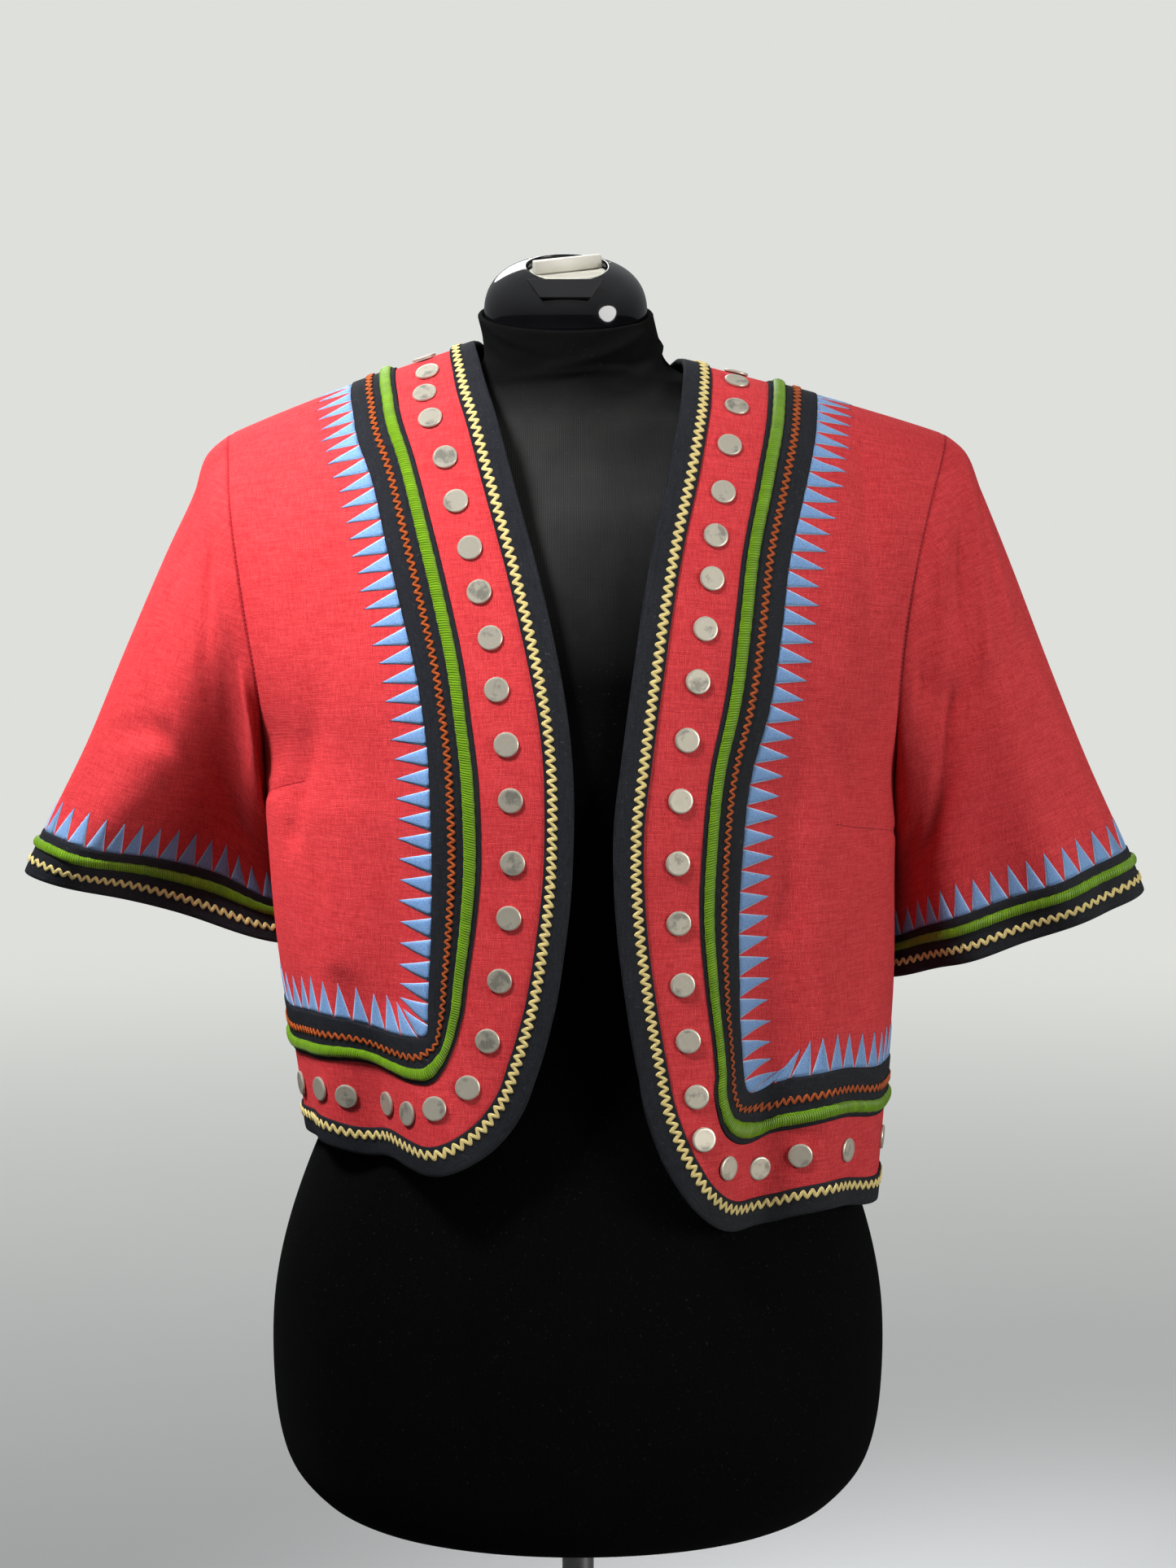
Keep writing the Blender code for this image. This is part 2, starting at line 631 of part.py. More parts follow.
def neck_places(drafts):
    """The back neck's strip: half an ellipse, and the lines parallel to it."""
    top = drafts[RIGHT].top - SEAM / 2
    ends = (-FRONT_EDGE[-1][1], FRONT_EDGE[-1][2])
    middle = (ends[0] + ends[1]) / 2
    radius = (ends[1] - ends[0]) / 2
    rows = []
    for k in range(NECK_STEPS + 1):
        angle = math.pi * (1 + k / NECK_STEPS)
        place = np.array([middle + radius * math.cos(angle), top + NECK_DROP * math.sin(angle)])
        out = np.array([NECK_DROP * math.cos(angle), radius * math.sin(angle)])
        out = out / np.linalg.norm(out)
        if k in (0, NECK_STEPS):
            out = np.array([np.sign(out[0]), 0.0])
            place[1] = top
        narrow = 1.0 - TAPERS[0] + (TAPERS[0] - TAPERS[1]) * k / NECK_STEPS
        rows.append([place + out * inward * narrow for inward in TRIM_LINES])
    return np.array(rows)


def make_back(drafts, finishes):
    """The back panel with its trims. Returns both armhole edges with normals, armpit first."""
    neck = neck_places(drafts)
    low, high = TRIM_LINES[-1], drafts[RIGHT].top - SEAM / 2
    columns = NECK_STEPS + 2 * YOKE_STEPS
    hem_rows = []
    for up in TRIM_LINES:
        right_end = -(float(drafts[RIGHT].reach(up)) - SEAM / 2)
        left_end = float(drafts[LEFT].reach(up)) - SEAM / 2
        across = np.linspace(right_end, left_end, columns + 1)
        hem_rows.append(np.stack([across, np.full(columns + 1, up)], axis=1))
    hem = np.array(hem_rows).transpose(1, 0, 2)
    armpit = drafts[RIGHT].armpit
    ups = np.concatenate(
        [
            np.linspace(low, armpit, SIDE_STEPS + 1),
            np.linspace(armpit, high, ARMHOLE_STEPS + 1)[1:],
        ]
    )
    pull = np.where(ups < armpit + 1e-6, SEAM / 2, 0.0)
    sides = {
        side: np.stack([side * (drafts[side].reach(ups) - pull), ups], axis=1)
        for side in (RIGHT, LEFT)
    }
    shoulders = {}
    for side, end in ((RIGHT, neck[0, -1]), (LEFT, neck[-1, -1])):
        across = np.linspace(sides[side][-1][0], end[0], YOKE_STEPS + 1)
        shoulders[side] = np.stack([across, np.full(YOKE_STEPS + 1, high)], axis=1)
    top = np.concatenate(
        [shoulders[RIGHT][:-1], neck[:, -1], shoulders[LEFT][::-1][1:]]
    )
    patch = coons(hem[:, -1], top, sides[RIGHT], sides[LEFT])
    grids = [signed_lay(drafts, flat, -WALL) for flat in (hem, patch, neck)]
    thicken("back_panel", grids, WALL, finishes["linen"])
    strip_trims("back_hem", signed_lay(drafts, hem, 0.0), finishes)
    strip_trims("back_neck", signed_lay(drafts, neck, 0.0), finishes)
    edges = {}
    for side in (RIGHT, LEFT):
        edge = sides[side][SIDE_STEPS:]
        edges[side] = signed_lay(drafts, edge, 0.0)
    return edges


def sleeve_ring(side, down, angles):
    """Places round the sleeve, at a share of the way down. Angle 0 is the outer side, 90 the front."""
    table = SLEEVES[side]
    shares = column(table, 0)
    outer_x, outer_z, inner_x, inner_z, depth, middle_y = (
        float(smooth(shares, column(table, index), down)) for index in range(1, 7)
    )
    outer = np.array([side * outer_x, middle_y, outer_z + DATUM])
    inner = np.array([side * inner_x, middle_y, inner_z + DATUM])
    middle = (outer + inner) / 2
    reach = (outer - inner) / 2
    front = np.array([0.0, -depth, 0.0])
    return middle + np.outer(np.cos(angles), reach) + np.outer(np.sin(angles), front)


def sleeve_rings(side, loop):
    """A function of the share down the sleeve that gives its ring, from the armhole's own loop on."""
    start = sleeve_ring(side, 0.0, np.zeros(1))[0]
    pit = sleeve_ring(side, 0.0, np.full(1, math.pi))[0]
    middle = (start + pit) / 2
    tall = np.linalg.norm(start - pit) / 2
    depth = SLEEVES[side][0][5]
    turns = np.arctan2(-(loop[:, 1] - middle[1]) / depth, (loop[:, 2] - middle[2]) / tall)
    turns = np.unwrap(turns)
    drop = loop + np.array([side * SEAM, 0.0, 0.0]) - sleeve_ring(side, 0.0, turns)

    def ring(down):
        fade = 1.0 - float(ease(down / HEAD_END))
        return sleeve_ring(side, down, turns) + drop * fade

    return ring


def ring_normals(side, rings, index, down_vector):
    """Outward normals of one ring of a tube."""
    ring = rings[index]
    along = np.roll(ring, -1, axis=0) - np.roll(ring, 1, axis=0)
    out = np.cross(along, down_vector)
    out = out / np.linalg.norm(out, axis=1, keepdims=True)
    centre = ring.mean(axis=0)
    if np.sum(out * (ring - centre)) < 0:
        out = -out
    return out


def make_sleeve(side, front_armhole, back_armhole, finishes):
    """A sleeve from its armhole, with its hem band, cord and ricrac."""
    name = "sleeve_right" if side == RIGHT else "sleeve_left"
    loop = np.concatenate([front_armhole[::-1], back_armhole[1:-1]])
    ring = sleeve_rings(side, loop)
    table = SLEEVES[side]
    length = np.hypot(table[-1][1] - table[0][1], table[-1][2] - table[0][2])
    band_start = 1.0 - SLEEVE_BAND[1] / length
    shares = list(np.linspace(0.0, band_start, SLEEVE_STEPS + 1)) + [1.0]
    rings = np.array([ring(share) for share in shares])
    step = 0.02
    nearby = np.array(
        [ring(min(share + step, 1.0)) - ring(max(share - step, 0.0)) for share in shares]
    )
    normals = np.array([ring_normals(side, rings, k, nearby[k]) for k in range(len(shares))])
    flat = np.cross(np.roll(loop, -1, axis=0) - np.roll(loop, 1, axis=0), [1.0, 0.0, 0.0])
    flat[:, 0] = 0.0
    flat = flat / np.linalg.norm(flat, axis=1, keepdims=True)
    if np.sum(flat * (loop - loop.mean(axis=0))) < 0:
        flat = -flat
    normals[0] = flat
    thicken(name, [(rings - normals * WALL, normals)], WALL, finishes["linen"], around=True)
    low = (rings[-1], normals[-1])
    high = (rings[-2], normals[-2])
    laces = (("cream_ricrac", SLEEVE_CREAM, False), ("green_cord", SLEEVE_GREEN, True))
    trims(name, low, high, (0.0, SLEEVE_BAND[1]), laces, finishes, finishes["band"], around=True)


def section_ring(section, sides):
    """One outline of the padded body."""
    height, width, front, back, middle, tilt = section
    places = []
    for k in range(sides):
        angle = 2 * math.pi * k / sides
        depth = back if math.sin(angle) > 0 else front
        y = depth * math.sin(angle)
        z = DATUM + height + y * math.tan(math.radians(tilt))
        places.append((middle + width * math.cos(angle), y, z))
    return places


def loft(bm, rings):
    """Bridge closed rings in turn and cap both ends."""
    loops = [[bm.verts.new(place) for place in ring] for ring in rings]
    count = len(loops[0])
    for low, high in zip(loops, loops[1:], strict=False):
        for k in range(count):
            bm.faces.new((low[k], low[(k + 1) % count], high[(k + 1) % count], high[k]))
    bm.faces.new(loops[0][::-1])
    bm.faces.new(loops[-1])
    bmesh.ops.recalc_face_normals(bm, faces=bm.faces)


def make_form_body(finish):
    """The padded body under its knit cover, up to the rim of the mock neck."""
    bm = bmesh.new()
    loft(bm, [section_ring(section, FORM_SIDES) for section in FORM_SECTIONS])
    add_object("form_body", bm, finish)


def tilted(across, back, rise):
    """A place in the neck's own frame: across, back and out along its tilted axis."""
    lean = math.radians(NECK_TILT)
    y = back * math.cos(lean) - rise * math.sin(lean)
    z = back * math.sin(lean) + rise * math.cos(lean)
    return np.array([NECK_MIDDLE + across, y, DATUM + NECK_HEIGHT + z])


def dome(across, back):
    """Rise of the neck cap's outside."""
    share = math.hypot(across / CAP_WIDTH, back / CAP_DEPTH)
    return SEAM + CAP_RISE * (1.0 - min(share, 1.0) ** CAP_SQUARE) ** (1.0 / CAP_SQUARE)


def oval(radius, sides):
    """A round outline."""
    turns = [2 * math.pi * k / sides for k in range(sides)]
    return [(radius * math.cos(turn), radius * math.sin(turn)) for turn in turns]


def break_edges(bm):
    """A small flat along every edge of a hard piece."""
    bmesh.ops.bevel(
        bm, geom=list(bm.edges), offset=EASE_EDGE, segments=1, profile=0.5,
        affect="EDGES", material=-1,
    )


def neck_prism(name, outline, low, high, finish):
    """An outline about the dial's middle, stood on the neck's tilted plane, between two rises."""
    bm = bmesh.new()
    rings = []
    for rise in (low, high):
        rings.append([tilted(DIAL_MIDDLE[0] + a, DIAL_MIDDLE[1] + b, rise) for a, b in outline])
    loft(bm, rings)
    break_edges(bm)
    add_object(name, bm, finish, HARD_SHARP)


def make_neck_cap(finish):
    """The domed cap on the neck: shrinking ovals that change into the round recess of the dial."""
    bm = bmesh.new()
    rings = []
    for rise_share in CAP_SHARES:
        share = (1.0 - rise_share**CAP_SQUARE) ** (1.0 / CAP_SQUARE)
        shoulder = [
            (CAP_WIDTH * share * a, CAP_DEPTH * share * b) for a, b in oval(1.0, CAP_SIDES)
        ]
        rings.append([tilted(a, b, SEAM + CAP_RISE * rise_share) for a, b in shoulder])
    rim = [(DIAL_MIDDLE[0] + a, DIAL_MIDDLE[1] + b) for a, b in oval(RECESS_RADIUS, CAP_SIDES)]
    for blend in CAP_BLENDS:
        places = [
            (a * (1 - blend) + c * blend, b * (1 - blend) + d * blend)
            for (a, b), (c, d) in zip(shoulder, rim, strict=True)
        ]
        rings.append([tilted(a, b, dome(a, b)) for a, b in places])
    rings.append([tilted(a, b, RECESS_FLOOR) for a, b in rim])
    loft(bm, rings)
    add_object("neck_cap", bm, finish)


def make_dial(finish):
    """The neck's setting dial in the recess, with the bar that turns it."""
    floor = RECESS_FLOOR + SEAM
    top = floor + DIAL_THICK
    neck_prism("dial", oval(DIAL_RADIUS, CAP_SIDES), floor, top, finish)
    turn = math.radians(BAR_TURN)
    half_long, half_wide = BAR_SIZE[0] / 2, BAR_SIZE[1] / 2
    corners = (
        (-half_long, -half_wide), (half_long, -half_wide),
        (half_long, half_wide), (-half_long, half_wide),
    )
    bar = [
        (a * math.cos(turn) - b * math.sin(turn), a * math.sin(turn) + b * math.cos(turn))
        for a, b in corners
    ]
    neck_prism("dial_bar", bar, top + SEAM, top + SEAM + BAR_SIZE[2], finish)


def make_plate(finish):
    """The matte plate, which touches the cap's front slope along its middle."""
    step = 0.001
    touch, above, below = (
        tilted(0.0, -back, dome(0.0, -back))
        for back in (PLATE_BACK, PLATE_BACK - step, PLATE_BACK + step)
    )
    side = np.array([1.0, 0.0, 0.0])
    upward = (above - below) / np.linalg.norm(above - below)
    out = np.cross(side, upward)
    low_half, high_half, half_high = PLATE_WIDTHS[0] / 2, PLATE_WIDTHS[1] / 2, PLATE_HIGH / 2
    outline = (
        (-low_half, -half_high), (low_half, -half_high),
        (high_half, half_high), (-high_half, half_high),
    )
    bm = bmesh.new()
    rings = []
    for lift in (SEAM, SEAM + PLATE_THICK):
        rings.append([touch + side * a + upward * b + out * lift for a, b in outline])
    loft(bm, rings)
    break_edges(bm)
    add_object("dial_plate", bm, finish, HARD_SHARP)


def turned_solid(name, profile, finish, sides=STAND_SIDES):
    """A solid of rings about the Z axis, from (radius, height) pairs, bottom first."""
    bm = bmesh.new()
    rings = []
    for radius, height in profile:
        rings.append([(a, b, height) for a, b in oval(radius, sides)])
    loft(bm, rings)
    add_object(name, bm, finish, HARD_SHARP)


def make_stand(steel, base, collar):
    """Base, the socket on it, the pole and the collar under the padded body."""
    edge = STAND_EDGE
    base_profile = (
        (BASE_RADIUS - edge, 0.0),
        (BASE_RADIUS, edge),
        (BASE_RADIUS, BASE_HIGH - edge),
        (BASE_RADIUS - edge, BASE_HIGH),
    )
    turned_solid("stand_base", base_profile, base)
    socket_foot = BASE_HIGH + SEAM
    socket_top = socket_foot + SOCKET_HIGH
    socket_profile = (
        (SOCKET_RADIUS, socket_foot),
        (SOCKET_RADIUS, socket_top - edge),
        (SOCKET_RADIUS - edge, socket_top),
    )
    turned_solid("pole_socket", socket_profile, collar, POLE_SIDES)
    pole_profile = (
        (POLE_RADIUS, socket_top + SEAM),
        (POLE_RADIUS, UNDERSIDE - COLLAR_HIGH - 2 * SEAM),
    )
    turned_solid("pole", pole_profile, steel, POLE_SIDES)
    collar_profile = (
        (COLLAR_FOOT, UNDERSIDE - SEAM - COLLAR_HIGH),
        (COLLAR_RADIUS, UNDERSIDE - SEAM - COLLAR_HIGH / 2),
        (COLLAR_RADIUS, UNDERSIDE - SEAM),
    )
    turned_solid("pole_collar", collar_profile, collar, POLE_SIDES)


def main():
    """Build every piece."""
    clear_scene()
    linen = material("red_linen", RED, 0.85)
    knit = material("black_knit", KNIT_COLOUR, 0.7)
    gloss = material("gloss_black", BLACK, 0.15)
    plate = material("matte_black", BLACK, 0.6)
    ivory = material("ivory", IVORY_COLOUR, 0.35)
    steel = material("pole_steel", STEEL_COLOUR, 0.3, 1.0)
    base = material("base_black", BLACK, 0.45)
    finishes = {
        "linen": linen,
        "band": material("black_band", BLACK, 0.8),
        "cream_ricrac": material("cream_ricrac", CREAM_COLOUR, 0.6),
        "rust_ricrac": material("rust_ricrac", RUST_COLOUR, 0.6),
        "green_cord": material("green_cord", GREEN_COLOUR, 0.5),
    }
    fronts = {side: Draft("front", side) for side in (RIGHT, LEFT)}
    backs = {side: Draft("back", side) for side in (RIGHT, LEFT)}
    back_edges = make_back(backs, finishes)
    for side in (RIGHT, LEFT):
        front_armhole = make_front(fronts[side], finishes)[0]
        back_armhole = back_edges[side][0]
        make_sleeve(side, front_armhole, back_armhole, finishes)
    make_form_body(knit)
    make_neck_cap(gloss)
    make_dial(ivory)
    make_plate(plate)
    make_stand(steel, base, gloss)


main()
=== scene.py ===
# %% [markdown]
# # Linen jacket on a dress form
# A short open-fronted jacket of red slubbed linen hangs on a black dress form. Its edges carry
# black bands with cream and rust ricrac and a fat green cord, round metal studs, and blue
# embroidered teeth. Everything is in metres, +Z up, and the front faces -Y. Right and left are the
# wearer's, so the right side is at -X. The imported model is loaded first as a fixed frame, and
# every detailed piece is then laid where its plain solid is.

import math

import bmesh
import bpy
import numpy as np
from mathutils import Matrix, Vector


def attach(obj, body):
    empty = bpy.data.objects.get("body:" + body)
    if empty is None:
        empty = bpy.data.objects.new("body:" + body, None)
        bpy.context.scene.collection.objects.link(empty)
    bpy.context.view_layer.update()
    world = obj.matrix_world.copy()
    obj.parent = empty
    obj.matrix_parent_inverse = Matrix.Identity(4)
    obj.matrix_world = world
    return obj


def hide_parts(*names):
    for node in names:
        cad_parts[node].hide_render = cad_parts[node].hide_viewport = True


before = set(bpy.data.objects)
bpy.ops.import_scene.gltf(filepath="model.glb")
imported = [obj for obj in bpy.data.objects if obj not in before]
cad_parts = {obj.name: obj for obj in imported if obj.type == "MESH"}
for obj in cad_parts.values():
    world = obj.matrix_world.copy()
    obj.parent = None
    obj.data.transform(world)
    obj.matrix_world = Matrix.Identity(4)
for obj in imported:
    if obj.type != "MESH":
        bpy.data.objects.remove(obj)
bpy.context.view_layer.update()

# %% [markdown]
# ## Camera
# The photograph was taken from just above chest height, about two metres away, looking slightly
# down. A long lens keeps the sleeves from spreading. The lens is worked out from the width of the
# form on the picture, and Blender takes the 36 mm sensor along the picture's long side.

# %% Camera
PHOTO_SIZE = (1445, 1927)
FOCAL_PIXELS = 4167.0
SENSOR = 36.0
LOOK_AT = Vector((0.006, 0.0, 0.7644))
CAMERA_DISTANCE = 2.0
CAMERA_TILT = math.radians(6.0)

camera_data = bpy.data.cameras.new("photo_camera")
camera_data.sensor_width = SENSOR
camera_data.lens = FOCAL_PIXELS / max(PHOTO_SIZE) * SENSOR
camera_data.clip_start = 0.05
camera = bpy.data.objects.new("photo_camera", camera_data)
bpy.context.scene.collection.objects.link(camera)
camera_back = Vector((0.0, -math.cos(CAMERA_TILT), math.sin(CAMERA_TILT)))
camera.location = LOOK_AT + camera_back * CAMERA_DISTANCE
camera.rotation_euler = (-camera_back).to_track_quat("-Z", "Y").to_euler()
bpy.context.scene.camera = camera
bpy.context.scene.view_settings.view_transform = "Standard"
print("lens", round(camera_data.lens, 2), "mm")

# %% [markdown]
# ## Sizes of the jacket
# The body of the jacket is one draft: a row for each level from the hem up to the shoulder seam,
# running from the middle line out to the side seam or the armhole. The main sizes are those of the
# plain solids. Finer ones are added, for how far the sewn lines wander and how far back the sleeves
# hang. Tables with named columns are easy to change by hand, and a smooth curve is read through
# each column.

# %% Sizes of the cloth
RIGHT, LEFT = -1, 1
DATUM = 0.300           # level above the floor that the heights are measured from
WALL = 0.0015           # the linen
SEAM = 0.0003           # between two pieces
BAND_WALL = 0.0008

# Distances in from the edge of the cloth
EDGE_BAND = (0.0000, 0.0155)
CREAM_MIDDLE = 0.0109
STUD_LINE = 0.0350
INNER_BAND = (0.0540, 0.0855)
GREEN = (0.0570, 0.0648)
RUST_MIDDLE = 0.0722
CORNER = 0.0955         # radius of the fronts' lower corners
TAPERS = (0.12, 0.04)   # how much narrower the trims are at the right and the left shoulder seam
TAPER_START = 0.85      # share of the front edge where that begins

# How far the sewn lines really run from those distances, in millimetres: share along the strip,
# edge band, outer line of the inner band, its inner line. Share 0.50 to 0.68 is the corner.
LINE_SHIFTS = {
    RIGHT: (
        (0.00, 0.0, 0.0, 0.0), (0.05, 4.0, 0.0, -3.5), (0.10, 6.4, 0.5, -4.5),
        (0.15, 7.0, 1.5, -2.0), (0.20, 6.2, 1.5, -1.6), (0.25, 4.6, 0.8, -2.9),
        (0.30, 2.4, 1.0, -3.1), (0.35, 1.5, -0.5, -3.2), (0.40, 1.0, -2.4, -5.0),
        (0.45, 1.6, -2.4, -7.8), (0.49, 3.5, -0.8, -10.2), (0.52, 8.0, 1.5, -11.0),
        (0.545, 9.2, 1.5, -12.0), (0.57, 7.3, 0.5, -14.0), (0.59, 5.6, -1.5, -11.5),
        (0.62, 3.2, -4.0, -8.0), (0.645, 2.6, -1.5, -6.8), (0.67, 5.8, 0.5, -6.0),
        (0.70, 6.9, 2.0, -5.5), (0.78, 3.2, 4.4, -1.5), (0.82, 6.0, 3.2, -0.4),
        (0.93, 2.0, -2.0, -4.0), (1.00, 0.0, 0.0, 0.0),
    ),
    LEFT: (
        (0.00, 0.0, 0.0, 0.0), (0.03, 4.5, 0.2, -1.6), (0.05, 6.0, 0.5, -1.6),
        (0.10, 7.5, 1.0, -2.0), (0.15, 6.6, 1.2, -2.8), (0.20, 6.8, 3.8, 0.2),
        (0.25, 7.4, 5.0, 0.4), (0.30, 6.6, 1.5, -5.0), (0.35, 3.9, -1.0, -8.0),
        (0.40, 4.2, -3.8, -11.0), (0.45, 4.0, -6.0, -15.5), (0.49, 4.6, -6.8, -19.0),
        (0.52, 6.8, -9.0, -18.2), (0.545, 7.6, -10.0, -17.8), (0.565, 6.6, -11.5, -14.5),
        (0.58, 5.4, -11.5, -8.5), (0.60, 2.8, -9.8, -1.2), (0.63, 0.9, -4.8, 1.6),
        (0.66, 4.2, 2.8, 3.0), (0.69, 8.6, 5.6, 4.5), (0.74, 12.0, 9.0, 7.0),
        (0.86, 5.2, 3.6, 2.2), (1.00, 0.0, 0.0, 0.0),
    ),
}

SLEEVE_BAND = (0.0000, 0.0300)
SLEEVE_CREAM_MIDDLE = 0.0090
SLEEVE_GREEN = (0.0178, 0.0244)

# %% Levels of the jacket's body
# level, up, right middle, right outer, right width, left middle, left outer, left width
LEVELS = (
    ("hem", 0.000, 0.246, 0.262, 0.1610, 0.209, 0.224, 0.1780),
    ("hip", 0.060, 0.307, 0.317, 0.1690, 0.279, 0.287, 0.1830),
    ("waist", 0.120, 0.370, 0.370, 0.1775, 0.348, 0.348, 0.1870),
    ("rib", 0.180, 0.430, 0.430, 0.1825, 0.412, 0.412, 0.1870),
    ("armpit", 0.220, 0.470, 0.462, 0.1840, 0.456, 0.448, 0.1870),
    ("bust", 0.275, 0.525, 0.512, 0.1825, 0.515, 0.503, 0.1840),
    ("chest", 0.335, 0.583, 0.567, 0.1900, 0.577, 0.563, 0.1880),
    ("collarbone", 0.396, 0.643, 0.625, 0.1985, 0.635, 0.622, 0.2000),
    ("yoke", 0.446, 0.700, 0.655, 0.2015, 0.688, 0.655, 0.2100),
    ("ridge", 0.486, 0.741, 0.669, 0.2023, 0.726, 0.669, 0.2135),
    ("shoulder", 0.504, 0.742, 0.670, 0.2025, 0.727, 0.670, 0.2140),
)
ARMPIT_UP = 0.220
RIDGE_DEPTH = 0.018     # stretch below the shoulder seam where the two faces' normals come together
SIDE_SHARE = 0.06       # the same beside a side seam, as a share of the row

# level, middle y, outer y, turn in degrees, width of the change from the right's heights
FRONT_DEPTHS = (
    ("hem", -0.122, 0.000, 90, 0.1),
    ("hip", -0.124, 0.000, 90, 0.1),
    ("waist", -0.126, 0.000, 90, 0.1),
    ("rib", -0.128, 0.000, 90, 0.1),
    ("armpit", -0.129, 0.000, 90, 0.1),
    ("bust", -0.125, -0.046, 68, 0.1),
    ("chest", -0.112, -0.056, 58, 0.1),
    ("collarbone", -0.090, -0.046, 50, 0.1),
    ("yoke", -0.060, -0.026, 45, 0.1),
    ("ridge", -0.010, -0.010, 45, 0.1),
    ("shoulder", 0.008, 0.008, 45, 0.1),
)
BACK_DEPTHS = (
    ("hem", 0.118, 0.000, 90, 1.00),
    ("hip", 0.113, 0.000, 90, 1.00),
    ("waist", 0.109, 0.000, 90, 1.00),
    ("rib", 0.107, 0.000, 90, 1.00),
    ("armpit", 0.106, 0.000, 90, 1.00),
    ("bust", 0.105, 0.044, 66, 0.90),
    ("chest", 0.101, 0.056, 58, 0.75),
    ("collarbone", 0.088, 0.052, 50, 0.55),
    ("yoke", 0.062, 0.040, 45, 0.35),
    ("ridge", 0.026, 0.024, 45, 0.25),
    ("shoulder", 0.008, 0.008, 45, 0.25),
)
DEPTHS = {"front": FRONT_DEPTHS, "back": BACK_DEPTHS}

# share of the way up to the shoulder seam, distance from the middle line: right, left
FRONT_EDGE = (
    (0.00, 0.0130, 0.0340),
    (0.10, 0.0078, 0.0265),
    (0.20, 0.0036, 0.0205),
    (0.32, 0.0020, 0.0190),
    (0.44, 0.0060, 0.0220),
    (0.56, 0.0142, 0.0290),
    (0.68, 0.0256, 0.0380),
    (0.80, 0.0402, 0.0490),
    (0.90, 0.0545, 0.0590),
    (0.96, 0.0615, 0.0640),
    (1.00, 0.0620, 0.0650),
)
NECK_DROP = 0.062       # the back neck's depth below the shoulder seams, along the cloth
HEM_MEET = 0.4          # share of the back's hem that bends to meet each front's trims

# %% Sizes of the sleeves
# down, outer x, outer height, inner x, inner height, half depth, outer y, inner y
RIGHT_SLEEVE = (
    (0.00, 0.2028, 0.6700, 0.1850, 0.4620, 0.0560, 0.000, 0.000),
    (0.05, 0.2145, 0.6600, 0.1835, 0.4550, 0.0565, 0.000, 0.003),
    (0.14, 0.2230, 0.6370, 0.1818, 0.4460, 0.0560, -0.002, 0.009),
    (0.28, 0.2390, 0.6030, 0.1805, 0.4330, 0.0540, -0.004, 0.018),
    (0.48, 0.2650, 0.5440, 0.1790, 0.4150, 0.0490, -0.005, 0.028),
    (0.70, 0.2890, 0.4880, 0.1770, 0.3950, 0.0430, -0.005, 0.034),
    (0.88, 0.3120, 0.4420, 0.1765, 0.3780, 0.0390, -0.005, 0.038),
    (1.00, 0.3250, 0.4140, 0.1750, 0.3660, 0.0370, -0.004, 0.040),
)
LEFT_SLEEVE = (
    (0.00, 0.2143, 0.6700, 0.1880, 0.4480, 0.0560, 0.000, 0.000),
    (0.05, 0.2250, 0.6610, 0.1865, 0.4410, 0.0570, 0.000, 0.003),
    (0.14, 0.2350, 0.6380, 0.1850, 0.4320, 0.0570, -0.002, 0.009),
    (0.28, 0.2510, 0.5990, 0.1845, 0.4180, 0.0560, -0.004, 0.018),
    (0.48, 0.2750, 0.5370, 0.1838, 0.3960, 0.0550, -0.008, 0.026),
    (0.70, 0.2990, 0.4790, 0.1830, 0.3740, 0.0530, -0.008, 0.030),
    (0.88, 0.3200, 0.4330, 0.1828, 0.3580, 0.0510, -0.008, 0.034),
    (1.00, 0.3320, 0.4040, 0.1828, 0.3460, 0.0500, -0.008, 0.036),
)
SLEEVES = {RIGHT: RIGHT_SLEEVE, LEFT: LEFT_SLEEVE}
HEAD_END = 0.35         # share of the sleeve by which the armhole's own outline has faded
SQUARE_END = 0.06       # by which its cloth has turned out of the armhole's plane
FOLDS_START = 0.10      # by which its folds are in full
